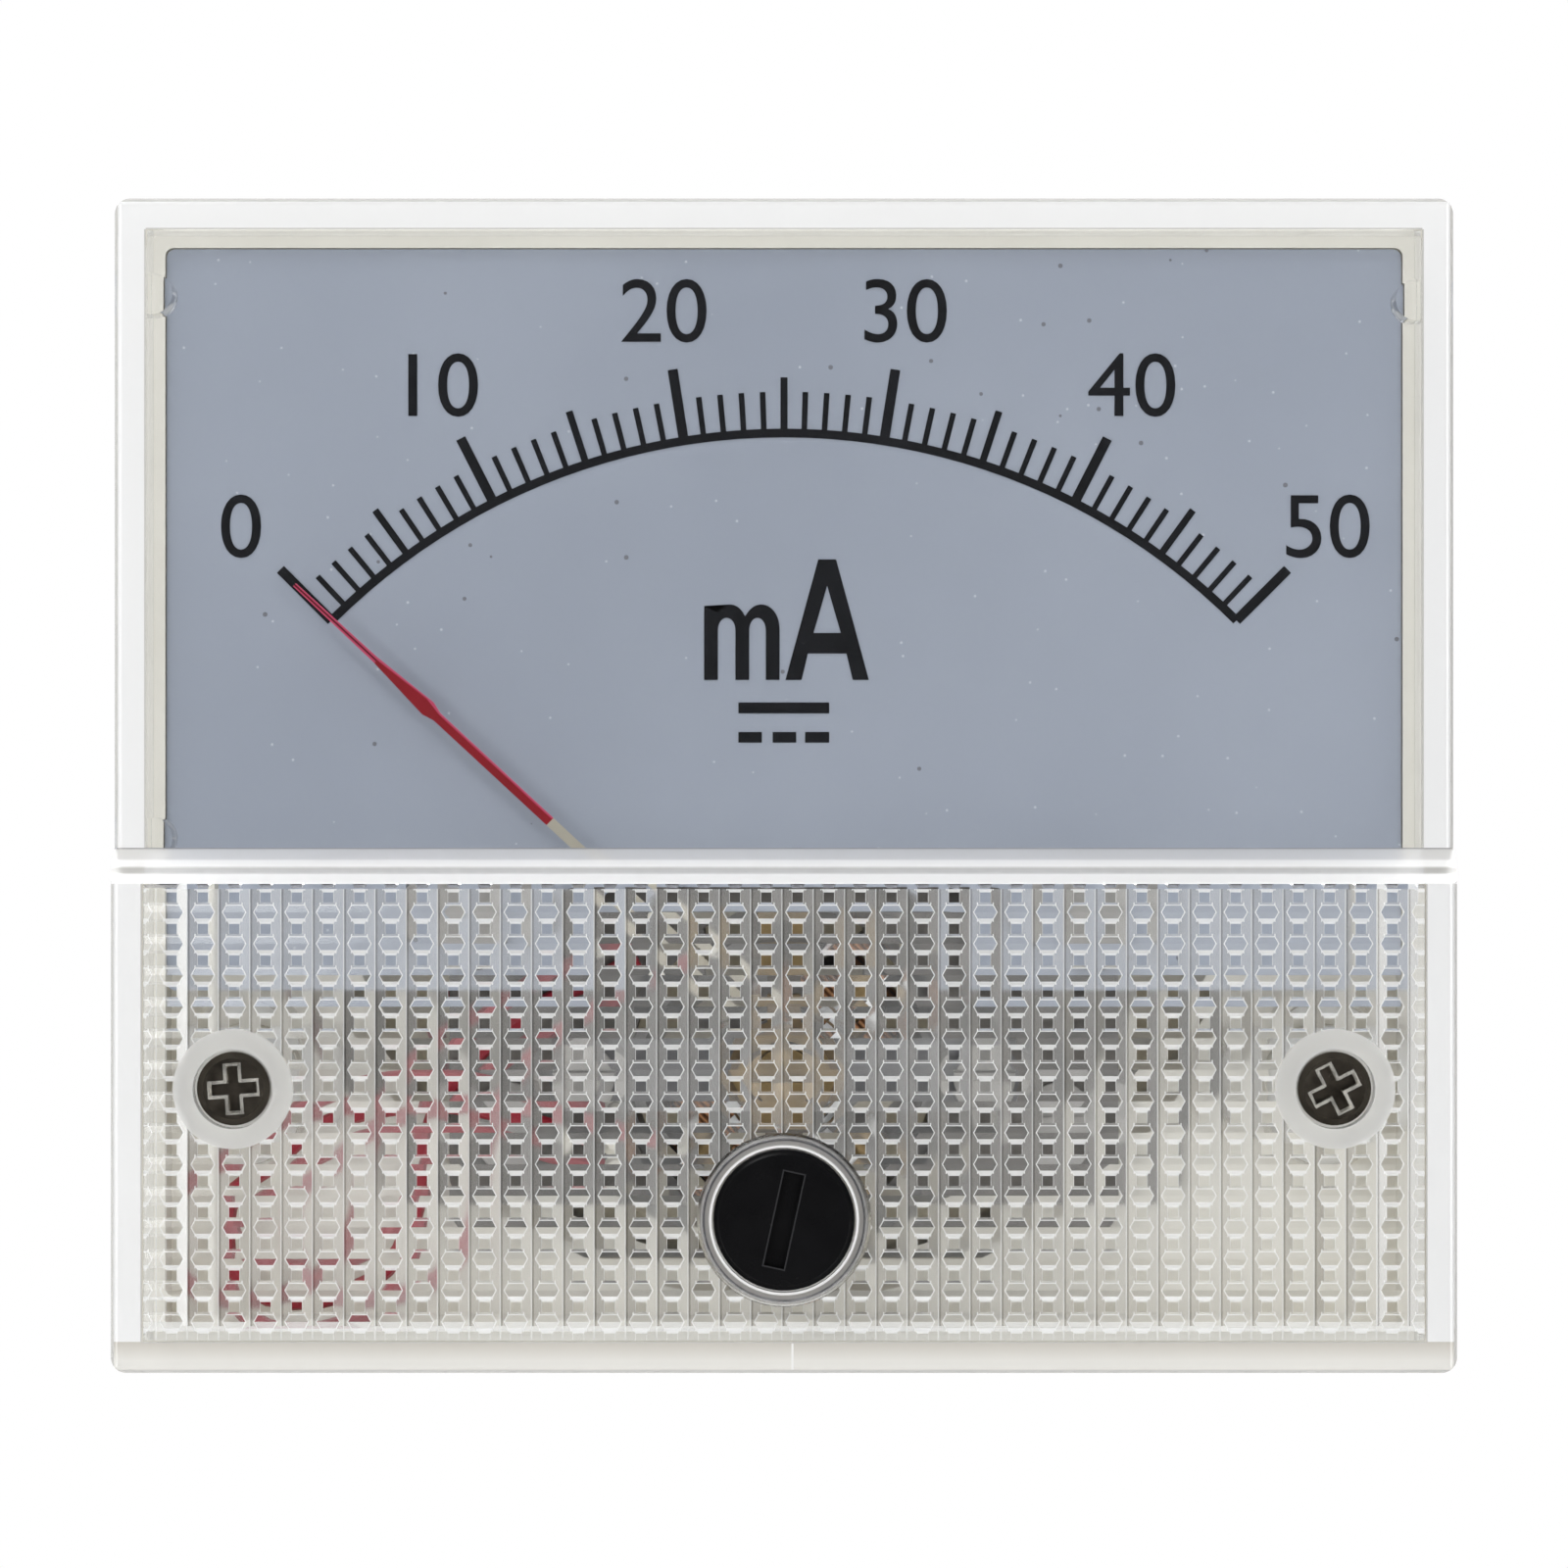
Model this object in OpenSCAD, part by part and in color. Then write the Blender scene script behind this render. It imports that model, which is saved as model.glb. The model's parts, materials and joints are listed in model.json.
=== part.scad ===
// Moving-coil panel meter, 64 x 56 front, for a round panel hole with two screw studs beside it.
// X runs to the right seen from the front, Y runs back through the panel, Z is up.
// The origin is on the barrel's axis, in the plane of the panel that the flange rests on.

/* [Front cover] */
// Width of the front
body_w = 64; // [60:1:72]
// Height of the front
body_h = 56; // [54:1:64]
// Radius of the upright corners
corner_r = 0.8; // [0.4:0.1:2]
// Rounding of the front edges
edge_r = 0.35; // [0.1:0.05:0.6]
// Wall of the clear cover
cover_wall = 1.5; // [1.2:0.1:1.8]
// From the panel to the front of the window
window_depth = 12.5; // [12:0.25:14]
// How far the lower part stands proud of the window
step_depth = 2.5; // [1.5:0.25:4]
// From the middle of the front down to the top of the sloped step
step_drop = 3.1; // [2:0.1:4]
// Height of the sloped step
step_rise = 1.6; // [1:0.1:2]
// How much the cover's wall thins where it goes round the base
rabbet = 0.3; // [0.2:0.05:0.5]
// Radius of the nubs inside the window's side walls
nub_r = 1; // [0.6:0.05:1.2]

/* [Moulded texture] */
// Pitch of the upright grooves
grid_pitch = 1.49; // [1.3:0.01:2.5]
// Pitch of the level grooves
channel_pitch = 1.5; // [1.3:0.01:2.5]
// Width of an upright V-groove
groove_w = 1; // [0.6:0.02:1.2]
// Depth of an upright V-groove
groove_d = 0.27; // [0.1:0.01:0.4]
// Height of a level groove
channel_h = 0.92; // [0.5:0.02:1.1]
// Height of the sloped edges above and below a level groove's floor
channel_edge = 0.13; // [0.05:0.01:0.2]
// Depth of a level groove at the foot of its edges
channel_foot = 0.07; // [0.02:0.01:0.12]
// Depth of a level groove in the middle of its floor
channel_d = 0.17; // [0.13:0.01:0.3]
// Sideways place of the grid
grid_shift = -0.1; // [-0.5:0.1:0.5]

/* [Base] */
// Thickness of the flange
flange_t = 1.8; // [1.5:0.1:2.2]
// How far the base's rim stands up from the flange
rim_h = 4.6; // [4.4:0.1:4.8]
// Thickness of the rim
rim_t = 0.75; // [0.6:0.05:1]
// Gap between the rim and the cover
rim_gap = 0.1; // [0.05:0.05:0.2]
// Diameter of the barrel
barrel_d = 50; // [49:0.5:51]
// Length of the barrel behind the panel
barrel_l = 28; // [27:1:34]
// Wall of the barrel
barrel_wall = 1.5; // [1.2:0.1:1.6]
// Thickness of the barrel's end
barrel_end = 2; // [1.5:0.25:3]

/* [Dial] */
// From the panel to the dial's face
dial_depth = 6; // [5.8:0.1:6.3]
// Thickness of the dial
dial_t = 0.5; // [0.4:0.05:0.8]
// Gap between the dial's edge and the rim
dial_gap = 0.05; // [0.05:0.05:0.3]
// From the middle of the front down to the dial's lower edge
dial_drop = 10; // [9:0.25:11]
// Width of the notch at the dial's lower edge
notch_w = 18; // [14:0.5:20]
// Height of the notch
notch_h = 5; // [3:0.25:6]
// Distance between the dial's screws
dial_screw_spacing = 30.2; // [26:0.2:31]
// From the middle of the front down to the dial's screws
dial_screw_drop = 6.2; // [5:0.1:7]

/* [Scale] */
// Radius of the arc
scale_r = 31; // [28:0.5:32]
// Width of the arc's line
arc_w = 0.42; // [0.2:0.02:0.6]
// Angle of the scale
scale_angle = 90; // [60:2:92]
// Number of divisions
divisions = 50; // [10:10:60]
// Reach of a small tick beyond the arc's middle
minor_l = 2.0; // [1:0.1:3]
// Reach of a half tick
half_l = 2.7; // [1:0.1:3.5]
// Reach of a numbered tick
major_l = 3.5; // [1:0.1:4]
// Width of a small tick
minor_w = 0.27; // [0.15:0.01:0.5]
// Width of a half tick
half_w = 0.34; // [0.15:0.01:0.6]
// Width of a numbered tick
major_w = 0.48; // [0.2:0.01:0.8]
// Thickness of the print
print_t = 0.04; // [0.02:0.01:0.06]

/* [Pointer] */
// Radius of the pointer's tip
pointer_r = 33.4; // [30:0.2:34]
// Sideways offset of the blade from the pivot
pointer_offset = 1.26; // [0.9:0.02:1.4]
// Thickness of the blade
blade_t = 0.25; // [0.15:0.05:0.35]
// Width of the folded root
root_w = 0.48; // [0.4:0.02:0.6]
// Width of the needle
needle_w = 0.3; // [0.2:0.02:0.4]
// Widest part of the lance
lance_w = 0.8; // [0.5:0.05:1]
// Radius at which the lance begins
lance_r = 24; // [20:0.5:26]
// Length of the lance
lance_l = 4.1; // [3:0.1:6]

/* [Movement] */
// From the middle of the front down to the pivot
pivot_drop = 14; // [13.5:0.1:14.4]
// Diameter of the soft-iron core
core_d = 10; // [9:0.2:10.6]
// Length of the core
core_l = 8.6; // [8:0.2:9]
// Thickness of the coil's aluminium former
former_t = 0.3; // [0.2:0.05:0.4]
// Thickness of the copper winding
winding_t = 0.7; // [0.4:0.05:0.8]
// Width of the coil's sides
coil_w = 3.2; // [2.4:0.1:3.6]
// Gap on each side of the coil
air_gap = 0.6; // [0.4:0.05:0.7]
// Thickness of the pole pieces
pole_t = 10; // [9:0.5:11]
// Overall width of the pole pieces
pole_w = 32.6; // [30:0.2:33]
// Width of the magnet between them
magnet_w = 12; // [10:0.5:14]
// Height of the magnet
magnet_h = 11; // [8:0.5:12]
// Thickness of the movement's plate
plate_t = 1; // [0.8:0.1:1.2]
// Distance between the screws that hold the plate
plate_screw_spacing = 52.8; // [50:0.2:54]
// Thickness of the bridges
bridge_t = 1; // [0.8:0.1:1.2]
// Diameter of the jewel screws
jewel_screw_d = 2.8; // [2.4:0.1:3]
// Outer radius of the hairsprings
spring_r = 3.4; // [3:0.1:3.8]
// Turns of each hairspring
spring_turns = 4; // [3:1:6]
// Thickness of the hairsprings' strip
strip_t = 0.12; // [0.08:0.01:0.2]
// Height of the hairsprings' strip
strip_h = 0.4; // [0.2:0.05:0.5]
// Distance of the side weights from the pivot
side_weight_r = 5; // [4.6:0.05:5.6]
// Distance of the tail weight from the pivot
tail_weight_r = 5.6; // [4.6:0.05:6]
// Diameter of a balance weight
weight_d = 1.5; // [1:0.1:1.6]
// Length of a balance weight
weight_l = 1.6; // [0.6:0.05:2]

/* [Zero adjuster] */
// From the middle of the front down to the adjuster
adjuster_drop = 20.7; // [20.4:0.1:21]
// Diameter of the adjuster's disc
adjuster_d = 6.7; // [6:0.1:7]
// Diameter of its shaft
shaft_d = 3.2; // [3:0.1:3.6]
// Running gap round the shaft
shaft_gap = 0.05; // [0.03:0.01:0.1]
// Length of its slot
slot_l = 4.56; // [3:0.02:5]
// Width of its slot
slot_w = 0.98; // [0.6:0.02:1.2]
// Depth of its slot
slot_depth = 0.6; // [0.4:0.05:0.8]
// Lean of its slot to the right
slot_lean = 12.4; // [-90:0.1:90]
// Throw of the eccentric pin
pin_throw = 0.9; // [0.6:0.05:1]
// Diameter of the eccentric pin
pin_d = 1; // [0.8:0.05:1.1]
// Gap between the pin and each side of the fork
fork_gap = 0.15; // [0.12:0.01:0.2]
// Thickness of the zero lever
lever_t = 0.4; // [0.3:0.05:0.5]

/* [Fasteners] */
// Distance between the cover's screws, which are also the panel studs
stud_spacing = 52.4; // [51.6:0.2:53]
// From the middle of the front down to them
stud_drop = 14.5; // [13:0.1:16]
// Diameter of their thread
stud_d = 2; // [1.6:0.1:2.2]
// Length behind the panel
stud_l = 14; // [8:1:20]
// Diameter of their heads
head_d = 3.5; // [3:0.1:3.7]
// Depth of the counterbores that the heads sit in
head_sink = 1.9; // [1.6:0.1:2.2]
// Outer diameter of the screw bosses
boss_d = 5.6; // [5.2:0.1:5.8]
// Distance between the terminals
terminal_spacing = 27; // [22:0.5:30]
// Diameter of the terminals' thread
terminal_d = 4; // [3:0.5:5]
// Length of a terminal behind the barrel
terminal_l = 14; // [10:1:20]
// Gap round every screw
screw_gap = 0.05; // [0.03:0.01:0.08]
// Diameter of the small screws
small_d = 1.6; // [1.4:0.1:1.8]

/* [Hidden] */
$fn = 64;
over = 0.5;                 // how far a cutter passes the face that it cuts
arc_steps = 6;              // straight pieces in a small rounded corner

half_w_out = body_w / 2;
half_h_out = body_h / 2;

// depths along Y, from the front to the back
lower_depth = window_depth + step_depth;
rim_front = -flange_t - rim_h;
dial_front = -dial_depth;
dial_back = dial_front + dial_t;
plate_lift = 1;             // the movement's plate stands this far off the tray's floor
plate_back = -flange_t - plate_lift;
plate_front = plate_back - plate_t;
pole_back = plate_back + pole_t;
core_front = plate_back + 1.2;
core_back = core_front + core_l;
end_gap = 0.4;              // between the core's ends and the former
former_front = core_front - end_gap - former_t;
former_back = core_back + end_gap + former_t;
winding_front = former_front - winding_t;
winding_back = former_back + winding_t;

// the front stack, built forwards from the coil
flange_thick = 0.4;         // foot of each staff
staff_foot_d = 3;
cross_t = 0.25;             // thickness of the balance cross
cross_back = dial_front - 1.35;
cross_front = cross_back - cross_t;
blade_front = cross_front - blade_t;
collet_back = blade_front - 0.15;
collet_l = 0.6;
collet_d = 2;
tip_l = 0.5;                // length of a staff's conical tip
neck_l = 0.4;               // plain neck between the collet and the tip
jewel_face = collet_back - collet_l - neck_l;
jewel_t = 0.75;
jewel_d = 1.6;
bridge_back = jewel_face - 0.3;
bridge_front = bridge_back - bridge_t;
lever_gap = 0.1;            // end play of the zero lever
lever_back = bridge_front - lever_gap;
lever_front = lever_back - lever_t;
nut_t = 1;
nut_back = lever_front - lever_gap;
jewel_screw_front = nut_back - nut_t - 0.7;
front_spring_back = collet_back - 0.1;

// the rear stack
rear_collet_front = winding_back + flange_thick + 0.2;
rear_jewel_face = rear_collet_front + collet_l + neck_l;
rear_bridge_front = rear_jewel_face + 0.4;
rear_bridge_back = rear_bridge_front + bridge_t;
rear_spring_front = rear_collet_front + 0.1;

pivot_z = -pivot_drop;
adjuster_z = -adjuster_drop;
stud_x = stud_spacing / 2;
stud_z = -stud_drop;
terminal_x = terminal_spacing / 2;
rim_out_w = half_w_out - cover_wall + rabbet - rim_gap;
rim_out_h = half_h_out - cover_wall + rabbet - rim_gap;
rim_in_w = rim_out_w - rim_t;
rim_in_h = rim_out_h - rim_t;
dial_half_w = rim_in_w - dial_gap;
dial_top = rim_in_h - dial_gap;
barrel_in = barrel_d / 2 - barrel_wall;
former_r = core_d / 2 + air_gap + former_t;
coil_r = former_r + winding_t;
pole_bore = coil_r + air_gap + 0.3;
pole_half = pole_w / 2;
magnet_half = magnet_w / 2;
plate_hole = pole_bore + 0.5;
pole_edge_r = barrel_in - 0.7;
pole_low = -20.5;
pole_high = 8;
magnet_low = pole_high - magnet_h;
leg_x = pole_bore + 2.1;
leg_d = 3.4;
hub_r = jewel_screw_d / 2 + 1.4;
wire_d = 0.9;
small_head_d = small_d + 1.4;
large_head_d = small_d + 1.8;
small_head_t = 1;
hole_d = small_d + 2 * screw_gap;  // for a small screw
collar_d = adjuster_d + 1;
collar_h = 0.5;
collar_flare = 0.7;
recess_gap = 0.1;
recess_depth = 0.8;
recess_floor = -lower_depth + recess_depth;
adjuster_boss_back = -lower_depth + cover_wall + 0.9;
shaft_end = adjuster_boss_back + 0.7;
clip_t = 0.4;
head_floor = -lower_depth + head_sink;
head_t = 1.3;
boss_split = -4.6;          // where the cover's screw bosses meet the base's
insert_d = 3.6;
thread_core = 0.78;         // a thread's core, as a share of its diameter
stud_core = thread_core * stud_d;
thread_start = 0.3;         // the studs' free thread begins this far behind the panel's face
terminal_core = thread_core * terminal_d;
terminal_across = terminal_d + 3;
terminal_hole = terminal_d + 0.5;
post_x = plate_screw_spacing / 2;
post_z = 2;
post_d = 5.2;
barrel_back = barrel_l;
pad_t = 0.8;
pad_back = barrel_back + pad_t;
washer_t = 0.8;
terminal_nut_t = 3.2;
stud_head_t = 2.8;
lug_t = 0.5;
lug_tail = 7.5;
barrel_floor = barrel_back - barrel_end;

// Shapes used throughout

// Points of a rounded corner round (cx, cy), a quarter turn from angle a
function corner(cx, cy, r, a) =
    [for (i = [0:arc_steps]) [cx + r * cos(a + 90 * i / arc_steps), cy + r * sin(a + 90 * i / arc_steps)]];

// Rectangle from (x0, y0) to (x1, y1) with rounded corners
module soft_box(x0, x1, y0, y1, r)
    polygon(concat(corner(x1 - r, y1 - r, r, 0), corner(x0 + r, y1 - r, r, 90),
        corner(x0 + r, y0 + r, r, 180), corner(x1 - r, y0 + r, r, 270)));

// Round bar along Y, from y0 to y1
module rod(d, y0, y1) translate([0, y0, 0]) rotate([-90, 0, 0]) cylinder(d = d, h = y1 - y0);

// Cone along Y, from diameter d0 at y0 to d1 at y1
module cone(d0, d1, y0, y1)
    translate([0, y0, 0]) rotate([-90, 0, 0]) cylinder(d1 = d0, d2 = d1, h = y1 - y0);

// Plate from y0 to y1 whose outline is drawn in X and Z
module slab(y0, y1) translate([0, y1, 0]) rotate([90, 0, 0]) linear_extrude(y1 - y0) children();

// Bar from x0 to x1 whose outline is drawn in Y and Z
module bar(x0, x1) translate([x0, 0, 0]) rotate([90, 0, 90]) linear_extrude(x1 - x0) children();

// A copy at +x and one at -x
module pair(x, z) for (side = [-1, 1]) translate([side * x, 0, z]) children();

// Hexagonal nut or head along Y
module hexagon(across, y0, y1)
    translate([0, y0, 0]) rotate([-90, 0, 0]) cylinder(d = across / cos(30), h = y1 - y0, $fn = 6);

// Slotted cheese-head screw along Y, its head from y0 to y1 and its shank on to y2
module screw(head, shank, y0, y1, y2, cut) difference() {
    union() {
        rod(head, y0, y1);
        rod(shank, y1 - 0.2, y2);
    }
    slab(y0 - over, (y0 + y1) / 2) square([2 * head, cut], center = true);
}

// Turns what is drawn with the pointer upright to the pointer's rest at zero
module at_zero() translate([0, 0, pivot_z]) rotate([0, -scale_angle / 2, 0]) children();

// Wire of diameter d swept along a list of points; ref is never along the wire
function unit(v) = v / norm(v);
function smooth(p, i, t) =
    let (a = p[max(i - 1, 0)], b = p[i], c = p[i + 1], e = p[min(i + 2, len(p) - 1)])
    0.5 * (2 * b + (c - a) * t + (2 * a - 5 * b + 4 * c - e) * t * t + (3 * b - a - 3 * c + e) * t * t * t);
function route(p, n) =
    concat([for (i = [0:len(p) - 2], j = [0:n - 1]) smooth(p, i, j / n)], [p[len(p) - 1]]);

module wire(points, d, ref, sides = 8) {
    p = route(points, 2);
    last = len(p) - 1;
    rings = [for (i = [0:last])
        let (t = unit(p[min(i + 1, last)] - p[max(i - 1, 0)]), u = unit(cross(ref, t)), v = cross(t, u))
        for (k = [0:sides - 1]) p[i] + d / 2 * (u * cos(360 * k / sides) + v * sin(360 * k / sides))];
    faces = concat(
        [[for (k = [0:sides - 1]) k]],
        [for (i = [0:last - 1], k = [0:sides - 1])
            let (m = (k + 1) % sides, a = i * sides, b = a + sides)
                each [[a + k, b + k, b + m], [a + k, b + m, a + m]]],
        [[for (k = [sides - 1:-1:0]) last * sides + k]]);
    polyhedron(rings, faces);
}

// Clear cover

inner_step = 0.25;          // the step's inner face starts this far below its outer face
grid_top = step_drop + step_rise + inner_step;
grid_bottom = 25.8;
inner_front = -lower_depth + cover_wall;
first_groove = -19;
last_groove = 20;
first_channel = 6.1;        // from the middle of the front down to the topmost level groove
channel_count = floor((grid_bottom - first_channel) / channel_pitch) + 1;

// Side view of the outside, with the front edges rounded
module cover_side() polygon(concat(
    [[-flange_t, -half_h_out], [-flange_t, half_h_out]],
    corner(-window_depth + edge_r, half_h_out - edge_r, edge_r, 90),
    [[-window_depth, -step_drop], [-lower_depth, -step_drop - step_rise]],
    corner(-lower_depth + edge_r, -half_h_out + edge_r, edge_r, 180)));

// Plan view of the outside, for a front at the given depth
module cover_plan(depth) polygon(concat(
    [[half_w_out, -flange_t], [-half_w_out, -flange_t]],
    corner(-half_w_out + edge_r, -depth + edge_r, edge_r, 180),
    corner(half_w_out - edge_r, -depth + edge_r, edge_r, 270)));

module cover_outside() intersection() {
    bar(-half_w_out, half_w_out) cover_side();
    slab(-lower_depth, -flange_t) soft_box(-half_w_out, half_w_out, -half_h_out, half_h_out, corner_r);
    union() {
        translate([0, 0, -step_drop - step_rise]) linear_extrude(body_h) cover_plan(window_depth);
        translate([0, 0, -half_h_out]) linear_extrude(half_h_out - step_drop) cover_plan(lower_depth);
    }
}

module cover_inside() {
    in_w = half_w_out - cover_wall;
    in_h = half_h_out - cover_wall;
    bar(-in_w, in_w) polygon([[-flange_t + over, -in_h], [-flange_t + over, in_h],
        [-window_depth + cover_wall, in_h], [-window_depth + cover_wall, -step_drop - inner_step],
        [inner_front, -grid_top], [inner_front, -in_h]]);
    slab(rim_front - rim_gap, -flange_t + over)
        soft_box(-in_w - rabbet, in_w + rabbet, -in_h - rabbet, in_h + rabbet, corner_r);
}

// Upright V-grooves and level grooves cut into the inner face of the lower front
module grid_cutters() {
    for (i = [first_groove:last_groove])
        translate([grid_shift + i * grid_pitch, 0, -grid_bottom])
            linear_extrude(grid_bottom - grid_top + inner_step)
                polygon([[-groove_w / 2, inner_front + over], [-groove_w / 2, inner_front],
                    [0, inner_front - groove_d],
                    [groove_w / 2, inner_front], [groove_w / 2, inner_front + over]]);
    for (i = [0:channel_count - 1])
        translate([0, 0, -first_channel - i * channel_pitch])
            bar(-half_w_out + cover_wall, half_w_out - cover_wall) channel_side();
}

// Side view of a level groove, a shallow V with steeper edges
module channel_side() {
    half = channel_h / 2;
    foot = half - channel_edge;
    polygon([[inner_front + over, half], [inner_front, half], [inner_front - channel_foot, foot],
        [inner_front - channel_d, 0],
        [inner_front - channel_foot, -foot], [inner_front, -half], [inner_front + over, -half]]);
}

module front_cover() color([0.9, 0.93, 0.95, 0.35]) difference() {
    union() {
        difference() {
            cover_outside();
            cover_inside();
            grid_cutters();
        }
        pair(stud_x, stud_z) rod(boss_d, -lower_depth + cover_wall / 2, boss_split);
        translate([0, 0, adjuster_z]) {
            rod(collar_d, -lower_depth, adjuster_boss_back);
            cone(collar_d, collar_d + collar_flare, -lower_depth - collar_h, -lower_depth + 0.1);
        }
        for (nub = [[-1, 23.5], [1, 23.2], [-1, -2.6]])
            translate([nub[0] * (half_w_out - cover_wall - 0.2), 0, nub[1]])
                rod(2 * nub_r, -window_depth + cover_wall / 2, rim_front - 0.6);
    }
    pair(stud_x, stud_z) {
        rod(head_d + 0.3, -lower_depth - over, head_floor);
        rod(stud_d + 0.4, head_floor - over, boss_split + over);
    }
    translate([0, 0, adjuster_z]) {
        rod(adjuster_d + 2 * recess_gap, -lower_depth - collar_h - over, recess_floor);
        rod(shaft_d + 2 * shaft_gap, recess_floor - over, adjuster_boss_back + over);
    }
}

// Moulded base

module base_housing() color([0.86, 0.84, 0.78]) difference() {
    union() {
        slab(-flange_t, 0) soft_box(-half_w_out, half_w_out, -half_h_out, half_h_out, corner_r);
        slab(rim_front, -flange_t / 2) difference() {
            soft_box(-rim_out_w, rim_out_w, -rim_out_h, rim_out_h, corner_r);
            soft_box(-rim_in_w, rim_in_w, -rim_in_h, rim_in_h, corner_r / 2);
        }
        rod(barrel_d, -flange_t / 2, barrel_back);
        pair(stud_x, stud_z) rod(boss_d, boss_split, -flange_t / 2);
        pair(post_x, post_z) rod(post_d, plate_back, -flange_t / 2);
        pair(dial_half_w - 3.4, dial_top - 3.4) rod(3.2, dial_back, -flange_t / 2);
        pair(terminal_x, 0) rod(terminal_d + 6, barrel_back - over, pad_back);
    }
    rod(2 * barrel_in, -flange_t - over, barrel_floor);
    pair(stud_x, stud_z) rod(insert_d, boss_split - over, over);
    pair(post_x, post_z) rod(hole_d, plate_back - over, -0.6);
    pair(terminal_x, 0) rod(terminal_hole, barrel_floor - over, pad_back + over);
}

module thread_inserts() color([0.8, 0.66, 0.36]) pair(stud_x, stud_z) difference() {
    rod(insert_d - 0.02, boss_split, 0);
    rod(stud_core + 2 * screw_gap, boss_split - over, over);
}

module cover_screws() color([0.34, 0.32, 0.3]) difference() {
    pair(stud_x, stud_z) {
        rod(head_d, head_floor - head_t + 0.3, head_floor);
        cone(head_d - 0.6, head_d, head_floor - head_t, head_floor - head_t + 0.3);
        rod(stud_core, head_floor - over, stud_l - over);
        rod(stud_d, thread_start, stud_l - 0.4);
        cone(stud_d, stud_d - 0.8, stud_l - 0.4, stud_l);
    }
    for (side = [0, 1]) translate([(2 * side - 1) * stud_x, 0, stud_z]) rotate([0, -recess_turn[side], 0])
        slab(head_floor - head_t - over, head_floor - head_t + 0.7) cross_outline();
}
recess_turn = [4, 27];      // how far each screw's cross is turned, left and right

// Cross recess, its arms widening where they meet
module cross_outline() {
    for (a = [0, 90]) rotate(a) square([recess_l, recess_w], center = true);
    rotate(45) square(recess_w * 1.5, center = true);
}
recess_l = 2.3;
recess_w = 0.55;

// Dial

module dial_plate() color([0.62, 0.645, 0.7]) slab(dial_front, dial_back) difference() {
    soft_box(-dial_half_w, dial_half_w, -dial_drop, dial_top, 0.4);
    soft_box(-notch_w / 2, notch_w / 2, -dial_drop - 2, -dial_drop + notch_h, 1.2);
    for (side = [-1, 1]) translate([side * dial_screw_spacing / 2, -dial_screw_drop])
        circle(d = hole_d);
}

// Angle of tick i from upright, clockwise
function tick_angle(i) = -scale_angle / 2 + scale_angle * i / divisions;

module tick(i, w, l) rotate(-tick_angle(i)) translate([-w / 2, scale_r]) square([w, l]);

module scale_print() color([0.1, 0.1, 0.12])
translate([0, 0, pivot_z]) slab(dial_front - print_t, dial_front) {
    difference() {
        circle(r = scale_r + arc_w / 2, $fn = 180);
        circle(r = scale_r - arc_w / 2, $fn = 180);
        reach = 2 * scale_r;
        end = scale_angle / 2;
        polygon([[0, 0], [-reach * sin(end), reach * cos(end)], [-reach, 0], [-reach, -reach],
            [reach, -reach], [reach, 0], [reach * sin(end), reach * cos(end)]]);
    }
    for (i = [0:divisions])
        if (i % 10 == 0) tick(i, major_w, major_l);
        else if (i % 5 == 0) tick(i, half_w, half_l);
        else tick(i, minor_w, minor_l);
}

module dial_screws() color([0.8, 0.8, 0.8]) pair(dial_screw_spacing / 2, -dial_screw_drop)
    screw(large_head_d, small_d, dial_front - small_head_t, dial_front, dial_back + 1.2, 0.5);

module dial_pillars() color([0.75, 0.62, 0.35])
pair(dial_screw_spacing / 2, -dial_screw_drop) difference() {
    rod(4, dial_back, plate_front);
    rod(hole_d, dial_back - over, dial_back + 1.4);
}

// Movement: plate, poles, magnet, core and bridges

module movement_frame() color([0.33, 0.34, 0.36]) difference() {
    slab(plate_front, plate_back) difference() {
        union() {
            soft_box(-pole_half, pole_half, pole_low, pole_high, 1.5);
            soft_box(-post_x - 2.6, post_x + 2.6, post_z - 2.6, post_z + 2.6, 1.2);
        }
        translate([0, pivot_z]) circle(r = plate_hole);
    }
    pair(post_x, post_z) rod(hole_d, plate_front - over, plate_back + over);
    pair(leg_x, pivot_z) rod(hole_d, plate_front - over, plate_back + over);
    for (z = pole_screw_z) pair(pole_screw_x, z) rod(hole_d, plate_front - over, plate_back + over);
    translate(feed_at) rod(bush_d + 2 * screw_gap, plate_front - over, plate_back + over);
}

pole_screw_x = 13.4;
pole_screw_reach = 3.5;       // into the pole piece
pole_screw_z = [-16, 4];
feed_at = [-8.2, 0, -17.4];
feed_d = 0.8;
bush_d = 1.5;
tag_at = [-6.2, 0, -8];

module frame_screws() color([0.75, 0.75, 0.74]) pair(post_x, post_z)
    screw(large_head_d, small_d, plate_front - small_head_t, plate_front, -0.8, 0.5);

// Right-hand pole piece: an iron cheek wrapped round the coil's path, its outside following the barrel
module pole() difference() {
    slab(plate_back, pole_back) intersection() {
        circle(r = pole_edge_r, $fn = 180);
        union() {
            translate([magnet_half, pole_low]) square([pole_half - magnet_half, pole_high - pole_low]);
            translate([horn_x, pole_low]) square([magnet_half - horn_x + over, horn_top - pole_low]);
        }
    }
    translate([0, 0, pivot_z]) rod(2 * pole_bore, plate_back - over, pole_back + over);
    translate([leg_x, 0, pivot_z]) rod(hole_d, plate_back - over, pole_back + over);
    for (z = pole_screw_z) translate([pole_screw_x, 0, z])
        rod(hole_d, plate_back - over, plate_back + pole_screw_reach + 0.5);
}
horn_x = 3.9;
horn_top = -4.5;

module right_pole() color([0.4, 0.4, 0.42]) pole();

module left_pole() color([0.4, 0.4, 0.42]) difference() {
    mirror([1, 0, 0]) pole();
    translate(feed_at) rod(bush_d + 2 * screw_gap, plate_back - over, pole_back + over);
}

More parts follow.
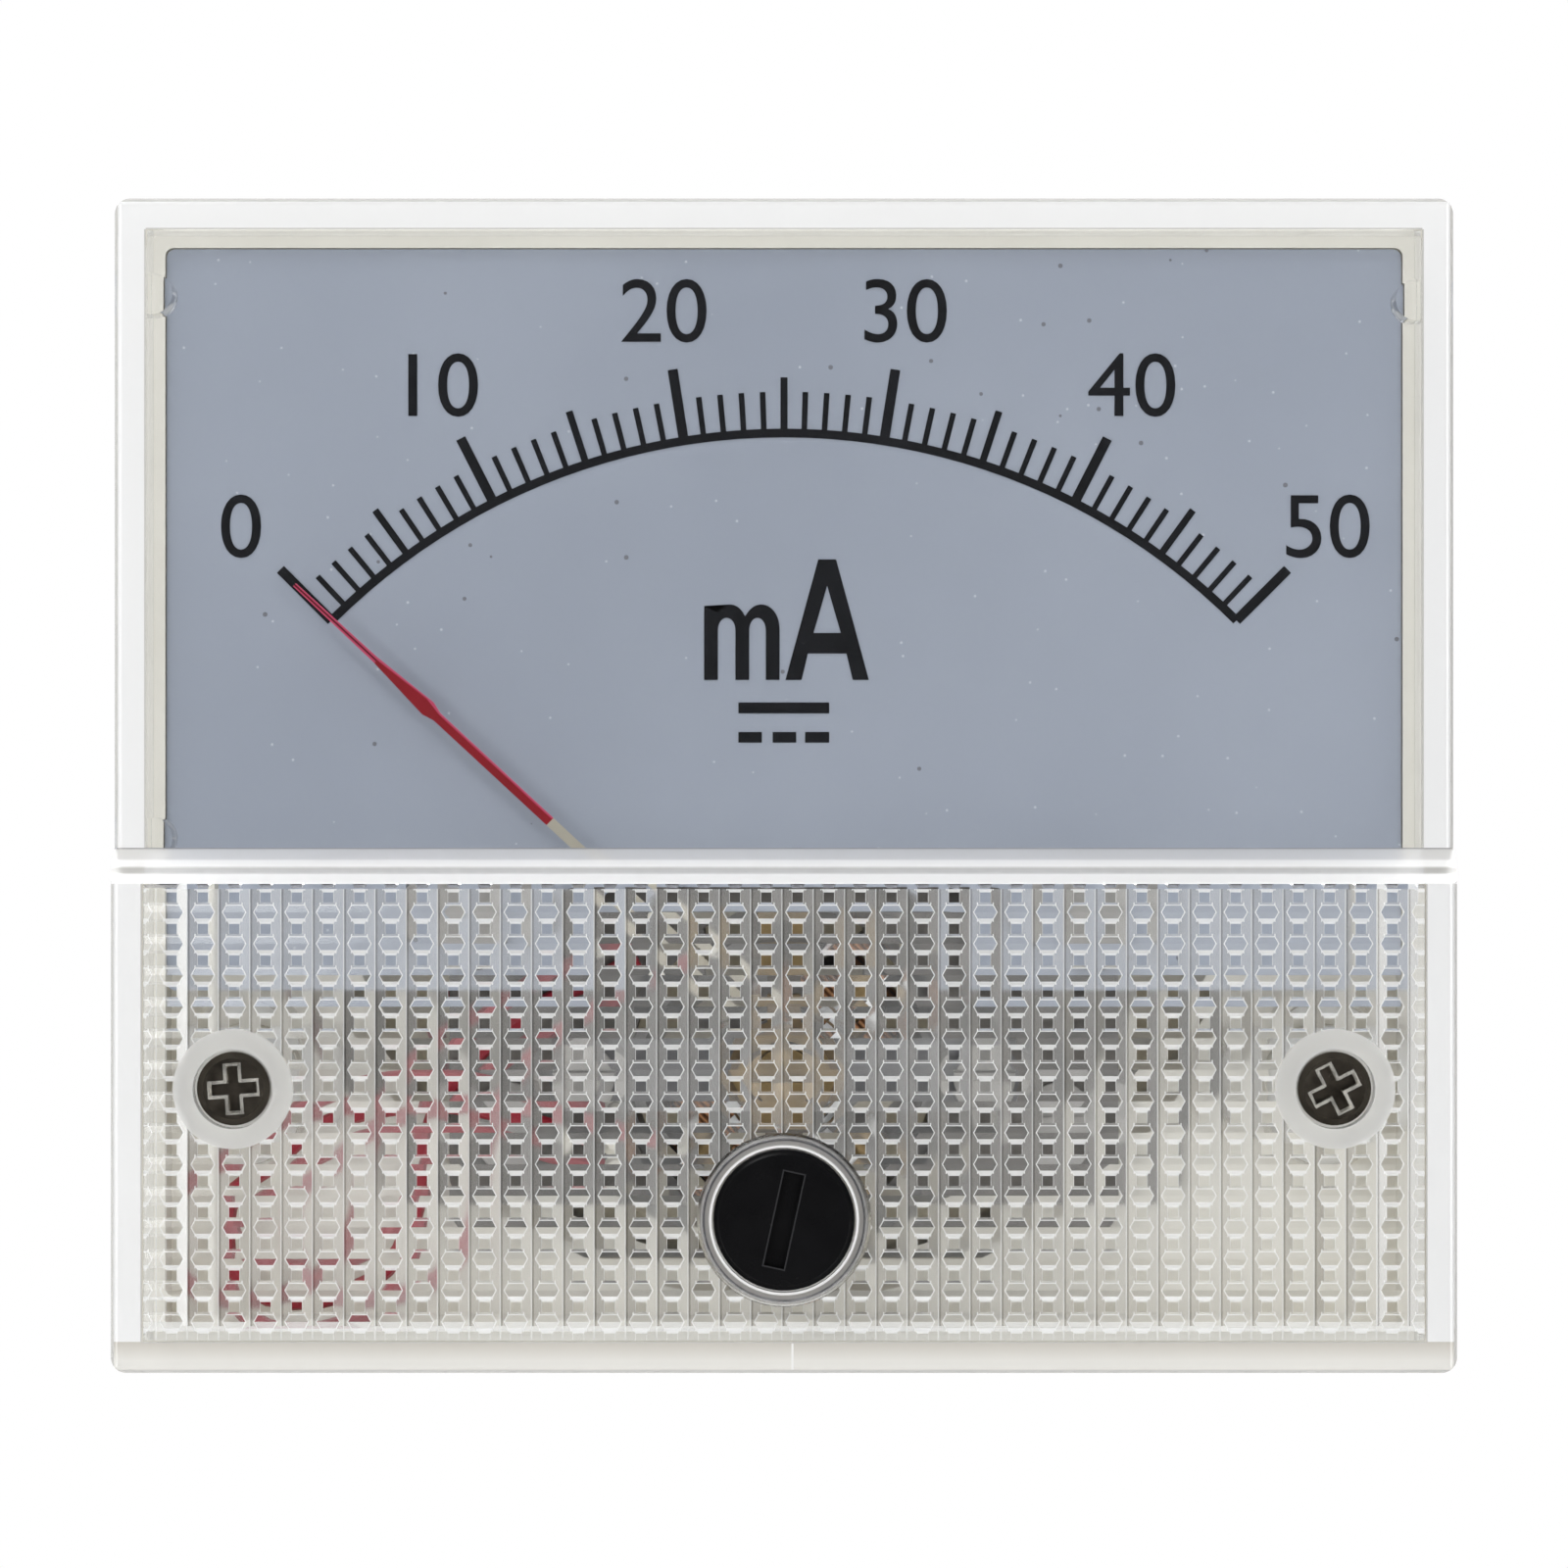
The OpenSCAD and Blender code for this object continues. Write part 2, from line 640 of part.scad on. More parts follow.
module pole_screws() color([0.6, 0.6, 0.6]) for (z = pole_screw_z) pair(pole_screw_x, z)
    screw(small_head_d, small_d, plate_front - 0.8, plate_front, plate_back + pole_screw_reach, 0.4);

module magnet() color([0.3, 0.3, 0.32]) slab(plate_back, pole_back)
    translate([-magnet_half, magnet_low]) square([magnet_w, magnet_h]);

module core() color([0.55, 0.55, 0.57]) translate([0, 0, pivot_z]) rod(core_d, core_front, core_back);

// Brass web that holds the core between the poles, with its foot hollowed to fit the core
module core_bracket() color([0.78, 0.65, 0.38]) difference() {
    web_low = pivot_z + core_d / 2 - 1;
    union() {
        slab(core_front + 0.6, core_back - 1.2)
            translate([-1.3, web_low]) square([2.6, magnet_low - web_low]);
        slab(plate_back, core_back - 1.2) translate([-horn_x + 0.2, horn_top - 0.6])
            square([2 * horn_x - 0.4, magnet_low - horn_top + 0.6]);
    }
    translate([0, 0, pivot_z]) rod(core_d + 0.02, core_front, core_back);
}

module bridge_outline() difference() {
    union() {
        soft_box(-leg_x - leg_d / 2, leg_x + leg_d / 2, -leg_d / 2, leg_d / 2, leg_d / 2 - 0.01);
        circle(r = hub_r);
    }
    circle(d = jewel_screw_d + 2 * screw_gap);
    for (side = [-1, 1]) translate([side * leg_x, 0]) circle(d = hole_d);
}

module front_bridge() color([0.22, 0.22, 0.23]) translate([0, 0, pivot_z]) difference() {
    union() {
        slab(bridge_front, bridge_back) bridge_outline();
        pair(leg_x, 0) rod(leg_d, bridge_back - bridge_t / 2, plate_front);
    }
    pair(leg_x, 0) rod(hole_d, bridge_front - over, plate_front + over);
}

module rear_bridge() color([0.22, 0.22, 0.23]) translate([0, 0, pivot_z]) difference() {
    union() {
        slab(rear_bridge_front, rear_bridge_back) bridge_outline();
        pair(leg_x, 0) rod(leg_d, pole_back, rear_bridge_front + bridge_t / 2);
        translate([0, 0, spring_r + 0.5]) rod(0.8, rear_spring_front, rear_bridge_front + bridge_t / 2);
        slab(rear_bridge_front, rear_bridge_back) translate([-0.8, 0]) difference() {
            square([1.6, spring_r + 1.2]);
            square([1.6, hub_r - 0.6]);
        }
    }
    pair(leg_x, 0) rod(hole_d, pole_back - over, rear_bridge_back + over);
}

module bridge_screws() color([0.7, 0.7, 0.7]) pair(leg_x, pivot_z)
    screw(small_head_d, small_d, bridge_front - small_head_t, bridge_front, plate_back + 3, 0.4);

module rear_bridge_screws() color([0.7, 0.7, 0.7]) pair(leg_x, pivot_z) mirror([0, 1, 0])
    screw(small_head_d, small_d, -rear_bridge_back - small_head_t, -rear_bridge_back, -pole_back + 3, 0.4);

// Jewel screw drawn with its jewel towards +Y, from y0 at the slot to y1 at the jewel's face
module jewel_screw(y0, y1) difference() {
    rod(jewel_screw_d, y0, y1);
    rod(jewel_d + 0.04, y1 - jewel_t, y1 + over);
    slab(y0 - over, y0 + 0.6) square([2 * jewel_screw_d, 0.5], center = true);
}

// Jewel with its conical cup towards +Y
module jewel(y1) difference() {
    rod(jewel_d, y1 - jewel_t, y1);
    cone(0.16, 0.86, y1 - tip_l - 0.06, y1 + 0.04);
}

module front_jewel_screw() color([0.8, 0.68, 0.4]) translate([0, 0, pivot_z])
    jewel_screw(jewel_screw_front, jewel_face);

module front_jewel() color([0.75, 0.3, 0.4]) translate([0, 0, pivot_z])
    jewel(jewel_face);

module rear_jewel_screw() color([0.8, 0.68, 0.4]) translate([0, 0, pivot_z]) mirror([0, 1, 0])
    jewel_screw(-rear_bridge_back - nut_t - 0.7, -rear_jewel_face);

module rear_jewel() color([0.75, 0.3, 0.4]) translate([0, 0, pivot_z]) mirror([0, 1, 0])
    jewel(-rear_jewel_face);

module lock_nut(y0) translate([0, 0, pivot_z]) difference() {
    hexagon(jewel_screw_d + 1.7, y0, y0 + nut_t);
    rod(jewel_screw_d + 2 * screw_gap, y0 - over, y0 + nut_t + over);
}

module front_lock_nut() color([0.78, 0.65, 0.36]) lock_nut(nut_back - nut_t);

module rear_lock_nut() color([0.78, 0.65, 0.36]) lock_nut(rear_bridge_back);

// Moving system, drawn with the pointer upright

// Closed frame round the core, from the given inner half width and depths, t thick
module loop(x, y0, y1, t, w, r) translate([0, 0, -w / 2]) linear_extrude(w) difference() {
    soft_box(-x - t, x + t, y0 - t, y1 + t, r + t);
    soft_box(-x, x, y0, y1, r);
}

module coil_former() color([0.8, 0.8, 0.82]) at_zero()
    loop(former_r - former_t, former_front + former_t, former_back - former_t, former_t, coil_w, 0.3);

module coil_winding() color([0.72, 0.4, 0.16]) at_zero()
    loop(former_r, former_front, former_back, winding_t, coil_w - 0.3, 0.6);

module front_staff() color([0.75, 0.75, 0.78]) at_zero() {
    rod(staff_foot_d, winding_front - flange_thick, winding_front);
    rod(1.6, cross_back, winding_front);
    rod(1.2, collet_back - 0.1, cross_back + 0.1);
    rod(collet_d, collet_back - collet_l, collet_back);
    rod(0.7, jewel_face, collet_back);
    cone(0.08, 0.7, jewel_face - tip_l, jewel_face);
}

module rear_staff() color([0.75, 0.75, 0.78]) at_zero() {
    rod(staff_foot_d, winding_back, winding_back + flange_thick);
    rod(1.2, winding_back, rear_collet_front + 0.1);
    rod(collet_d, rear_collet_front, rear_collet_front + collet_l);
    rod(0.7, rear_collet_front, rear_jewel_face);
    cone(0.7, 0.08, rear_jewel_face, rear_jewel_face + tip_l);
}

// Blade drawn along its own line, then set beside the pivot so that its tip points at the scale
module pointer() color([0.78, 0.1, 0.16]) at_zero() {
    lean = asin(pointer_offset / pointer_r);
    reach = pointer_r * cos(lean);
    slab(blade_front, cross_front) rotate(lean) translate([pointer_offset, 0])
        polygon([[-root_w / 2, -1.5], [-root_w / 2, lance_r], [-lance_w / 2, lance_r + 0.6],
            [-needle_w / 2, lance_r + lance_l], [-needle_w / 3, reach], [needle_w / 3, reach],
            [needle_w / 2, lance_r + lance_l], [lance_w / 2, lance_r + 0.6], [root_w / 2, lance_r],
            [root_w / 2, -1.5]]);
}

module balance_cross() color([0.7, 0.7, 0.72]) at_zero() slab(cross_front, cross_back) difference() {
    union() {
        circle(d = 4);
        square([2 * (side_weight_r + weight_l / 2 + 0.3), arm_w], center = true);
        translate([-arm_w / 2, -tail_weight_r - weight_l / 2 - 0.3]) square([arm_w, tail_weight_r]);
    }
    circle(d = 1.2 + 0.04);
}
arm_w = 0.6;

// A weight wound round an arm that runs up from the pivot
module weight(r) translate([0, (cross_front + cross_back) / 2, r - weight_l / 2]) difference() {
    cylinder(d = weight_d, h = weight_l);
    translate([0, 0, -over]) cylinder(d = 0.7, h = weight_l + 2 * over);
}

module balance_weights() color([0.8, 0.66, 0.36]) at_zero() {
    for (side = [-90, 90]) rotate([0, side, 0]) weight(side_weight_r);
    rotate([0, 180, 0]) weight(tail_weight_r);
}

// Spiral strip from the collet to the outer radius, ending straight up from the pivot
module spiral(y0) {
    inner_r = collet_d / 2 + 0.05 + strip_t / 2;
    outer_r = spring_r;
    steps = 24 * spring_turns;
    function at(i, side) = let (f = i / steps, a = 90 - 360 * spring_turns * (1 - f),
        r = inner_r + (outer_r - inner_r) * f + side * strip_t / 2) [r * cos(a), r * sin(a)];
    slab(y0, y0 + strip_h)
        polygon(concat([for (i = [0:steps]) at(i, -1)], [for (i = [steps:-1:0]) at(i, 1)]));
}

module front_hairspring() color([0.72, 0.5, 0.22]) translate([0, 0, pivot_z])
    spiral(front_spring_back - strip_h);

module rear_hairspring() color([0.72, 0.5, 0.22]) translate([0, 0, pivot_z])
    spiral(rear_spring_front);

// Zero adjustment

module zero_lever() color([0.74, 0.54, 0.3]) translate([0, 0, pivot_z]) {
    arm = adjuster_drop - pivot_drop;
    fork_in = pin_d / 2 + fork_gap;
    tine = 0.8;
    arm_half = 0.9;
    tab_w = 1.6;
    fork_low = -arm - pin_throw - pin_d / 2;
    tab_in = spring_r + strip_t / 2 + 0.04;
    slab(lever_front, lever_back) difference() {
        union() {
            circle(d = jewel_screw_d + 2.6);
            translate([-arm_half, -arm + 0.6]) square([2 * arm_half, arm - 0.6]);
            translate([-fork_in - tine, fork_low - 0.6])
                square([2 * (fork_in + tine), pin_throw + pin_d + 1.9]);
            translate([-tab_w / 2, 0]) square([tab_w, tab_in + lever_t]);
        }
        circle(d = jewel_screw_d + 2 * shaft_gap);
        translate([-fork_in, fork_low - 1]) square([2 * fork_in, pin_throw + pin_d + 1.3]);
    }
    // tab bent back to the end of the hairspring
    slab(lever_front, front_spring_back) translate([-tab_w / 2, tab_in]) square([tab_w, lever_t]);
}

module zero_adjuster() color([0.08, 0.08, 0.09]) translate([0, 0, adjuster_z]) difference() {
    union() {
        rod(adjuster_d, -lower_depth - collar_h + 0.2, recess_floor - 0.05);
        cone(adjuster_d - 0.5, adjuster_d, -lower_depth - collar_h, -lower_depth - collar_h + 0.2);
        rod(shaft_d, recess_floor - 0.5, shaft_end);
        translate([0, 0, -pin_throw]) rod(pin_d, shaft_end - 0.5, lever_back + 0.2);
    }
    rotate([0, slot_lean, 0]) slab(-lower_depth - collar_h - over, -lower_depth - collar_h + slot_depth)
        square([slot_w, slot_l], center = true);
}

module adjuster_clip() color([0.75, 0.75, 0.76]) translate([0, 0, adjuster_z]) difference() {
    rod(shaft_d + 2.2, adjuster_boss_back + 0.1, adjuster_boss_back + 0.1 + clip_t);
    rod(shaft_d + 0.02, adjuster_boss_back - over, adjuster_boss_back + clip_t + over);
}

// Wiring

module spring_tag() color([0.8, 0.78, 0.7]) translate(tag_at) {
    rod(0.9, plate_front - 0.2, plate_front);
    rod(0.7, plate_front - 1.3, plate_front);
}

module feedthrough_pin() color([0.8, 0.78, 0.7]) translate(feed_at)
    rod(feed_d, plate_front - 1.4, pole_back + 1.4);

module feedthrough_bush() color([0.85, 0.83, 0.75]) translate(feed_at) difference() {
    rod(bush_d, plate_front - 0.3, pole_back + 0.3);
    rod(feed_d + 2 * screw_gap, plate_front - over, pole_back + over);
}

// The loop keeps its place in the lower left corner of the tray, and the rear leads reach the lugs
function out(f) = -20 - f * (rim_in_w - 22.75);
function low(f) = -16 - f * (rim_in_h - 16.85);
function back(f) = pole_back + 1.5 + f * (barrel_floor - pole_back - 2.5);
red_wire_route = [[-7.1, -4.7, -8.5], [-8.6, -4.6, -9.3], [-10.2, -4.5, -9.9],
    [-11.8, -4.5, -10.8], [-13.3, -4.5, -11.8], [-14.8, -4.5, -13.0], [-16.1, -4.4, -14.5],
    [-17.0, -4.3, -16.2], [-17.6, -4.1, low(0.24)], [-17.9, -4.0, low(0.5)], [-18.7, -3.9, low(0.74)],
    [out(0.03), -3.8, low(0.91)], [out(0.35), -3.7, low(1)], [out(0.71), -3.7, low(0.99)],
    [out(0.94), -3.7, low(0.85)], [out(1), -3.8, low(0.62)], [out(0.92), -4.0, low(0.41)],
    [out(0.68), -4.2, low(0.28)], [out(0.5), -4.5, low(0.14)],
    [-21.7, -4.9, -16.3], [-19.2, -5.3, -15.7], [-16.6, -5.6, -15.5], [-14.0, -5.5, -15.9],
    [-11.6, -5.2, -16.6], [-8.8, -4.8, -17.3]];
positive_route = [[-8.9, back(0), -17.4], [-10.6, back(0.04), -18.0], [-13.0, back(0.12), -17.2],
    [-15.4, back(0.21), -14.0], [-17.2, back(0.34), -9.8], [-18.4, back(0.47), -5.4],
    [-19.0, back(0.61), -1.2], [-18.8, back(0.74), 2.6], [-17.8, back(0.87), 5.6],
    [-terminal_x - 2.8, back(0.96), lug_tail], [-terminal_x - 1.2, back(1), lug_tail + 0.8]];
negative_route = [[-0.3, rear_bridge_back + 0.5, pivot_z + spring_r + 0.7],
    [1.6, 12.1, -9.4], [3.4, 12.8, -8.4], [5.6, 14.0, -6.6],
    [8.4, 15.8, -4.6], [11.4, 17.6, -2.4], [14.8, back(0.66), 0.2], [17.4, back(0.78), 2.8],
    [17.8, back(0.89), 5.6], [terminal_x + 2.6, back(0.97), lug_tail],
    [terminal_x + 1.2, back(1), lug_tail + 0.8]];

module red_wire() color([0.75, 0.1, 0.1]) wire(red_wire_route, wire_d, [0, 1, 0]);
module positive_lead() color([0.75, 0.1, 0.1]) wire(positive_route, wire_d, [1, 0, 0]);
module negative_lead() color([0.1, 0.1, 0.1]) wire(negative_route, wire_d, [1, 0, -1]);

shunt_y = barrel_floor - 6;
shunt_z = lug_tail;
shunt_l = 14;
shunt_d = 6;
shunt_wire_d = 0.8;
module shunt_resistor() color([0.3, 0.42, 0.34]) {
    translate([-shunt_l / 2, shunt_y, shunt_z]) rotate([0, 90, 0]) cylinder(d = shunt_d, h = shunt_l);
    for (side = [-1, 1]) {
        translate([side * (shunt_l / 2 - over), shunt_y, shunt_z]) rotate([0, side * 90, 0])
            cylinder(d = shunt_wire_d, h = terminal_x - shunt_l / 2 + over + shunt_wire_d / 2);
        translate([side * terminal_x, 0, shunt_z]) rod(shunt_wire_d, shunt_y, barrel_floor - lug_t);
    }
}

module inner_lugs() color([0.8, 0.78, 0.7]) pair(terminal_x, 0)
    slab(barrel_floor - lug_t, barrel_floor) difference() {
        union() {
            circle(d = 8);
            translate([-1.7, 0]) square([3.4, lug_tail + 1.5]);
        }
        circle(d = terminal_hole);
    }

module terminal_studs() color([0.78, 0.76, 0.72]) pair(terminal_x, 0) {
    hexagon(terminal_across, barrel_floor - lug_t - stud_head_t, barrel_floor - lug_t);
    rod(terminal_core, barrel_floor - lug_t - over, nut_outer + over);
    rod(terminal_d, nut_outer, barrel_back + terminal_l - 0.6);
    cone(terminal_d, terminal_d - 1.2, barrel_back + terminal_l - 0.6, barrel_back + terminal_l);
}
nut_outer = pad_back + washer_t + terminal_nut_t;

module terminal_washers() color([0.8, 0.79, 0.76]) pair(terminal_x, 0) difference() {
    rod(terminal_d + 5, pad_back, pad_back + washer_t);
    rod(terminal_hole, pad_back - over, pad_back + washer_t + over);
}

module terminal_nuts() color([0.8, 0.79, 0.76]) pair(terminal_x, 0) difference() {
    hexagon(terminal_across, pad_back + washer_t, nut_outer);
    rod(terminal_core + 2 * screw_gap, pad_back, nut_outer + over);
}

front_cover();
base_housing();
dial_plate();
scale_print();
dial_screws();
dial_pillars();
movement_frame();
frame_screws();
left_pole();
right_pole();
pole_screws();
magnet();
core();
core_bracket();
front_bridge();
bridge_screws();
front_jewel_screw();
front_jewel();
front_lock_nut();
rear_bridge();
rear_bridge_screws();
rear_jewel_screw();
rear_jewel();
rear_lock_nut();
coil_former();
coil_winding();
front_staff();
rear_staff();
pointer();
balance_cross();
balance_weights();
front_hairspring();
rear_hairspring();
zero_lever();
zero_adjuster();
adjuster_clip();
cover_screws();
thread_inserts();
spring_tag();
feedthrough_pin();
feedthrough_bush();
red_wire();
shunt_resistor();
positive_lead();
negative_lead();
inner_lugs();
terminal_studs();
terminal_washers();
terminal_nuts();
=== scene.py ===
"""Looks of the panel meter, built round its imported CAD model. Metres; X right, Y back, Z up."""

import json
import math

import bmesh
import bpy
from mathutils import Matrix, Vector


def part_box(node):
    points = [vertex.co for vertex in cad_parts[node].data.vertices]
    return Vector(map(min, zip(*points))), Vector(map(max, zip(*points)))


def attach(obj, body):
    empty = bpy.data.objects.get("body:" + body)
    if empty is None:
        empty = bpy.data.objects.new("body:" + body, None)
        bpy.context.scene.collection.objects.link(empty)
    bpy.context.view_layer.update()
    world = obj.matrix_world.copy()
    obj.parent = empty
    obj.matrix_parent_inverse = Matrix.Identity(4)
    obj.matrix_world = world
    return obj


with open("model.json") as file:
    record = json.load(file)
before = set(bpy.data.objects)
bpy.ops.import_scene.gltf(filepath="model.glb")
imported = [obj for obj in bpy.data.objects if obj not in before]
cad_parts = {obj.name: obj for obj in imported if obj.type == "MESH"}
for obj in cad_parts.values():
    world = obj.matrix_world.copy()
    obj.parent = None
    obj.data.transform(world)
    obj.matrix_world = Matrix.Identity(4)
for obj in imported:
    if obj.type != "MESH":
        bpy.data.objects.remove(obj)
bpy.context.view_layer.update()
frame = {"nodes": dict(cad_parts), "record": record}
nodes = frame["nodes"]
MM = 0.001
WHITE = (1.0, 1.0, 1.0)


# Places on the model

def centre(node):
    """The middle of a CAD node's box."""
    low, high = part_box(node)
    return (Vector(low) + Vector(high)) / 2


cover_low, cover_high = map(Vector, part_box("front_cover"))
DIAL_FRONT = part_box("dial_plate")[0][1]
PIVOT_Z = centre("front_jewel_screw").z
ADJUSTER_Z = centre("adjuster_clip").z
ADJUSTER_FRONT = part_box("zero_adjuster")[0][1]

SCREW_HEAD_R = 1.75 * MM
BOSS_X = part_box("cover_screws")[1][0] - SCREW_HEAD_R
BOSS_Z = centre("cover_screws").z

STUD_HEAD_R = 4.04 * MM
TERMINAL_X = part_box("terminal_studs")[1][0] - STUD_HEAD_R
TERMINAL_Z = centre("terminal_studs").z
PAD_RISE = 0.8 * MM
BARREL_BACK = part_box("terminal_washers")[0][1] - PAD_RISE

WALL = 1.5 * MM
WALL_W = cover_high.x - WALL
WALL_H = cover_high.z - WALL
STEP_HIGH = -3.05 * MM
STEP_LOW = -4.75 * MM
WINDOW_FRONT = -12.5 * MM


# Short ways to build materials

class Graph:
    """A tree of shader nodes. Where it makes masks, they are 1 inside and 0 outside."""

    def __init__(self, tree):
        self.tree = tree

    def add(self, kind, inputs=(), **settings):
        node = self.tree.nodes.new(kind)
        for key, value in settings.items():
            setattr(node, key, value)
        for key, value in dict(inputs).items():
            if hasattr(value, "is_linked"):
                self.tree.links.new(value, node.inputs[key])
            else:
                node.inputs[key].default_value = value
        return node

    def math(self, operation, a, b=0.0):
        return self.add("ShaderNodeMath", {0: a, 1: b}, operation=operation).outputs[0]

    def minus(self, a, b):
        return self.math("SUBTRACT", a, b)

    def size(self, value):
        """The value without its sign."""
        return self.math("ABSOLUTE", value)

    def below(self, value, limit):
        return self.math("LESS_THAN", value, limit)

    def beyond(self, value, limit):
        return self.math("GREATER_THAN", value, limit)

    def within(self, value, low, high):
        return self.product(self.beyond(value, low), self.below(value, high))

    def product(self, *values):
        result = values[0]
        for value in values[1:]:
            result = self.math("MULTIPLY", result, value)
        return result

    def most(self, *values):
        result = values[0]
        for value in values[1:]:
            result = self.math("MAXIMUM", result, value)
        return result

    def distance(self, a, b):
        return self.math("SQRT", self.math("ADD", self.product(a, a), self.product(b, b)))

    def slope(self, value, x0, y0, x1, y1):
        """y0 at x0, y1 at x1, straight between them and level beyond."""
        return self.add("ShaderNodeMapRange", {0: value, 1: x0, 2: x1, 3: y0, 4: y1}).outputs[0]


class Look(Graph):
    """A procedural material: a Principled shader and what feeds it."""

    def __init__(self, name, rough=0.5, metal=0.0, **sockets):
        self.material = bpy.data.materials.new(name)
        self.material.use_nodes = True
        super().__init__(self.material.node_tree)
        self.shader = self.tree.nodes["Principled BSDF"]
        self.output = self.tree.nodes["Material Output"]
        self.set("Roughness", rough)
        self.set("Metallic", metal)
        for socket, value in sockets.items():
            self.set(socket.replace("_", " "), value)
        self.place = self.add("ShaderNodeTexCoord").outputs["Object"]

    def set(self, socket, value):
        self.shader.inputs[socket].default_value = value

    def feed(self, socket, value):
        self.tree.links.new(value, self.shader.inputs[socket])

    def axes(self):
        split = self.add("ShaderNodeSeparateXYZ", {0: self.place})
        return split.outputs[0], split.outputs[1], split.outputs[2]

    def stretched(self, scale):
        """Coordinates scaled differently along X, Y and Z."""
        return self.add("ShaderNodeMapping", {"Vector": self.place, "Scale": scale}).outputs[0]

    def noise(self, scale, detail=3.0, where=None):
        inputs = {"Vector": where or self.place, "Scale": scale, "Detail": detail}
        return self.add("ShaderNodeTexNoise", inputs).outputs["Fac"]

    def speckle(self, scale, size):
        """A mask of small round spots scattered at random."""
        inputs = {"Vector": self.place, "Scale": scale, "Randomness": 1.0}
        cells = self.add("ShaderNodeTexVoronoi", inputs)
        return self.below(cells.outputs["Distance"], size)

    def ramp(self, value, *stops):
        """Colours at places between 0 and 1."""
        node = self.add("ShaderNodeValToRGB", {"Fac": value})
        elements = node.color_ramp.elements
        elements[0].position, elements[0].color = stops[0][0], (*stops[0][1], 1)
        elements[1].position, elements[1].color = stops[-1][0], (*stops[-1][1], 1)
        for place, colour in stops[1:-1]:
            elements.new(place).color = (*colour, 1)
        return node.outputs["Color"]

    def mix(self, factor, a, b):
        """Colour a where the factor is 0, colour b where it is 1."""
        colours = [value if hasattr(value, "is_linked") else (*value, 1) for value in (a, b)]
        inputs = {0: factor, 6: colours[0], 7: colours[1]}
        return self.add("ShaderNodeMix", inputs, data_type="RGBA").outputs[2]

    def paint(self, mask, colour):
        """Lays a colour over the present one where the mask is 1."""
        present = self.shader.inputs["Base Color"].links[0].from_socket
        self.feed("Base Color", self.mix(mask, present, colour))

    def bump(self, height, distance, strength=1.0):
        inputs = {"Height": height, "Distance": distance, "Strength": strength}
        self.feed("Normal", self.add("ShaderNodeBump", inputs).outputs[0])

    def blend(self, factor, other):
        """Puts another shader in place of the Principled one where the factor is 1."""
        inputs = {0: factor, 1: self.shader.outputs[0], 2: other.outputs[0]}
        both = self.add("ShaderNodeMixShader", inputs)
        self.tree.links.new(both.outputs[0], self.output.inputs["Surface"])

    def pass_light(self, share, colour):
        """Lets a share of the light through, while the eye sees the surface in full."""
        rays = self.add("ShaderNodeLightPath").outputs
        light = self.most(rays["Is Shadow Ray"], rays["Is Diffuse Ray"])
        gap = self.add("ShaderNodeBsdfTransparent", {"Color": (*colour, 1)})
        self.blend(self.product(light, share), gap)

    def turned(self, x, z, cos, sin):
        """Distances along and across a mark that is turned by an angle about x = z = 0."""
        along = self.math("ADD", self.product(x, cos), self.product(z, sin))
        across = self.minus(self.product(z, cos), self.product(x, sin))
        return self.size(along), self.size(across)

    def past_outline(self, along, across, length, width):
        """Distance past a rectangle's outline, negative inside it."""
        return self.most(self.minus(along, length / 2), self.minus(across, width / 2))


def srgb(r, g, b):
    """A colour as a screen shows it, 0 to 255, made linear for the shader."""
    return tuple(c / 3294.6 if c <= 10.31 else ((c / 255 + 0.055) / 1.055) ** 2.4 for c in (r, g, b))


def plastic(name, dark, light, rough=0.45, grain=2500, height=0.004, **sockets):
    """A moulding: clouded from dark to light, its grain as high as height in millimetres."""
    look = Look(name, rough, **sockets)
    tone = look.noise(grain / 12, 4)
    look.feed("Base Color", look.ramp(tone, (0.3, dark), (0.7, light)))
    look.bump(look.noise(grain, 2), height * MM, 0.6)
    look.feed("Roughness", look.slope(look.noise(grain / 5), 0.0, rough - 0.06, 1.0, rough + 0.06))
    return look


def metal(name, dark, light, rough=0.3, grain=3000, scale=(1, 1, 1), height=0.003):
    """Metal whose fine marks run along the direction with the smallest scale."""
    look = Look(name, rough, 1.0)
    marks = look.noise(grain, 4, look.stretched(scale))
    look.feed("Base Color", look.ramp(look.noise(grain / 10, 3), (0.3, dark), (0.72, light)))
    look.feed("Roughness", look.slope(marks, 0.0, rough - 0.1, 1.0, rough + 0.12))
    look.bump(marks, height * MM, 0.5)
    return look


def thread(look, pitch, start, x, z):
    """Bump of a right-handed thread along Y, beyond start, on the pair of shanks at -x and +x."""
    px, py, pz = look.axes()
    side = look.minus(look.size(px), x)
    flip = look.math("SIGN", px)
    angle = look.math("ARCTAN2", look.minus(pz, z), look.product(side, flip))
    turn = look.math("DIVIDE", angle, 2 * math.pi)
    phase = look.math("FRACT", look.math("ADD", look.math("DIVIDE", py, pitch), turn))
    ridge = look.size(look.minus(phase, 0.5))
    look.bump(look.product(ridge, look.beyond(py, start)), pitch * 0.9)


# Materials of the case and the dial

def cream_moulding():
    """Its thin walls let some light into the case."""
    look = plastic("cream_moulding", srgb(216, 213, 204), srgb(223, 220, 212), 0.42, 1800)
    look.pass_light(0.45, (1.0, 0.97, 0.9))
    return look


def painted_dial():
    """Satin grey-blue, with a little dust and pale flecks."""
    look = Look("dial_paint", 0.38, 0.25)
    paint = look.ramp(look.noise(60, 3), (0.3, srgb(149, 156, 170)), (0.7, srgb(156, 163, 177)))
    paint = look.mix(look.speckle(420, 0.05), paint, srgb(112, 114, 122))
    look.feed("Base Color", look.mix(look.speckle(900, 0.06), paint, srgb(186, 190, 200)))
    look.bump(look.noise(6000, 3), 0.004 * MM, 0.5)
    return look


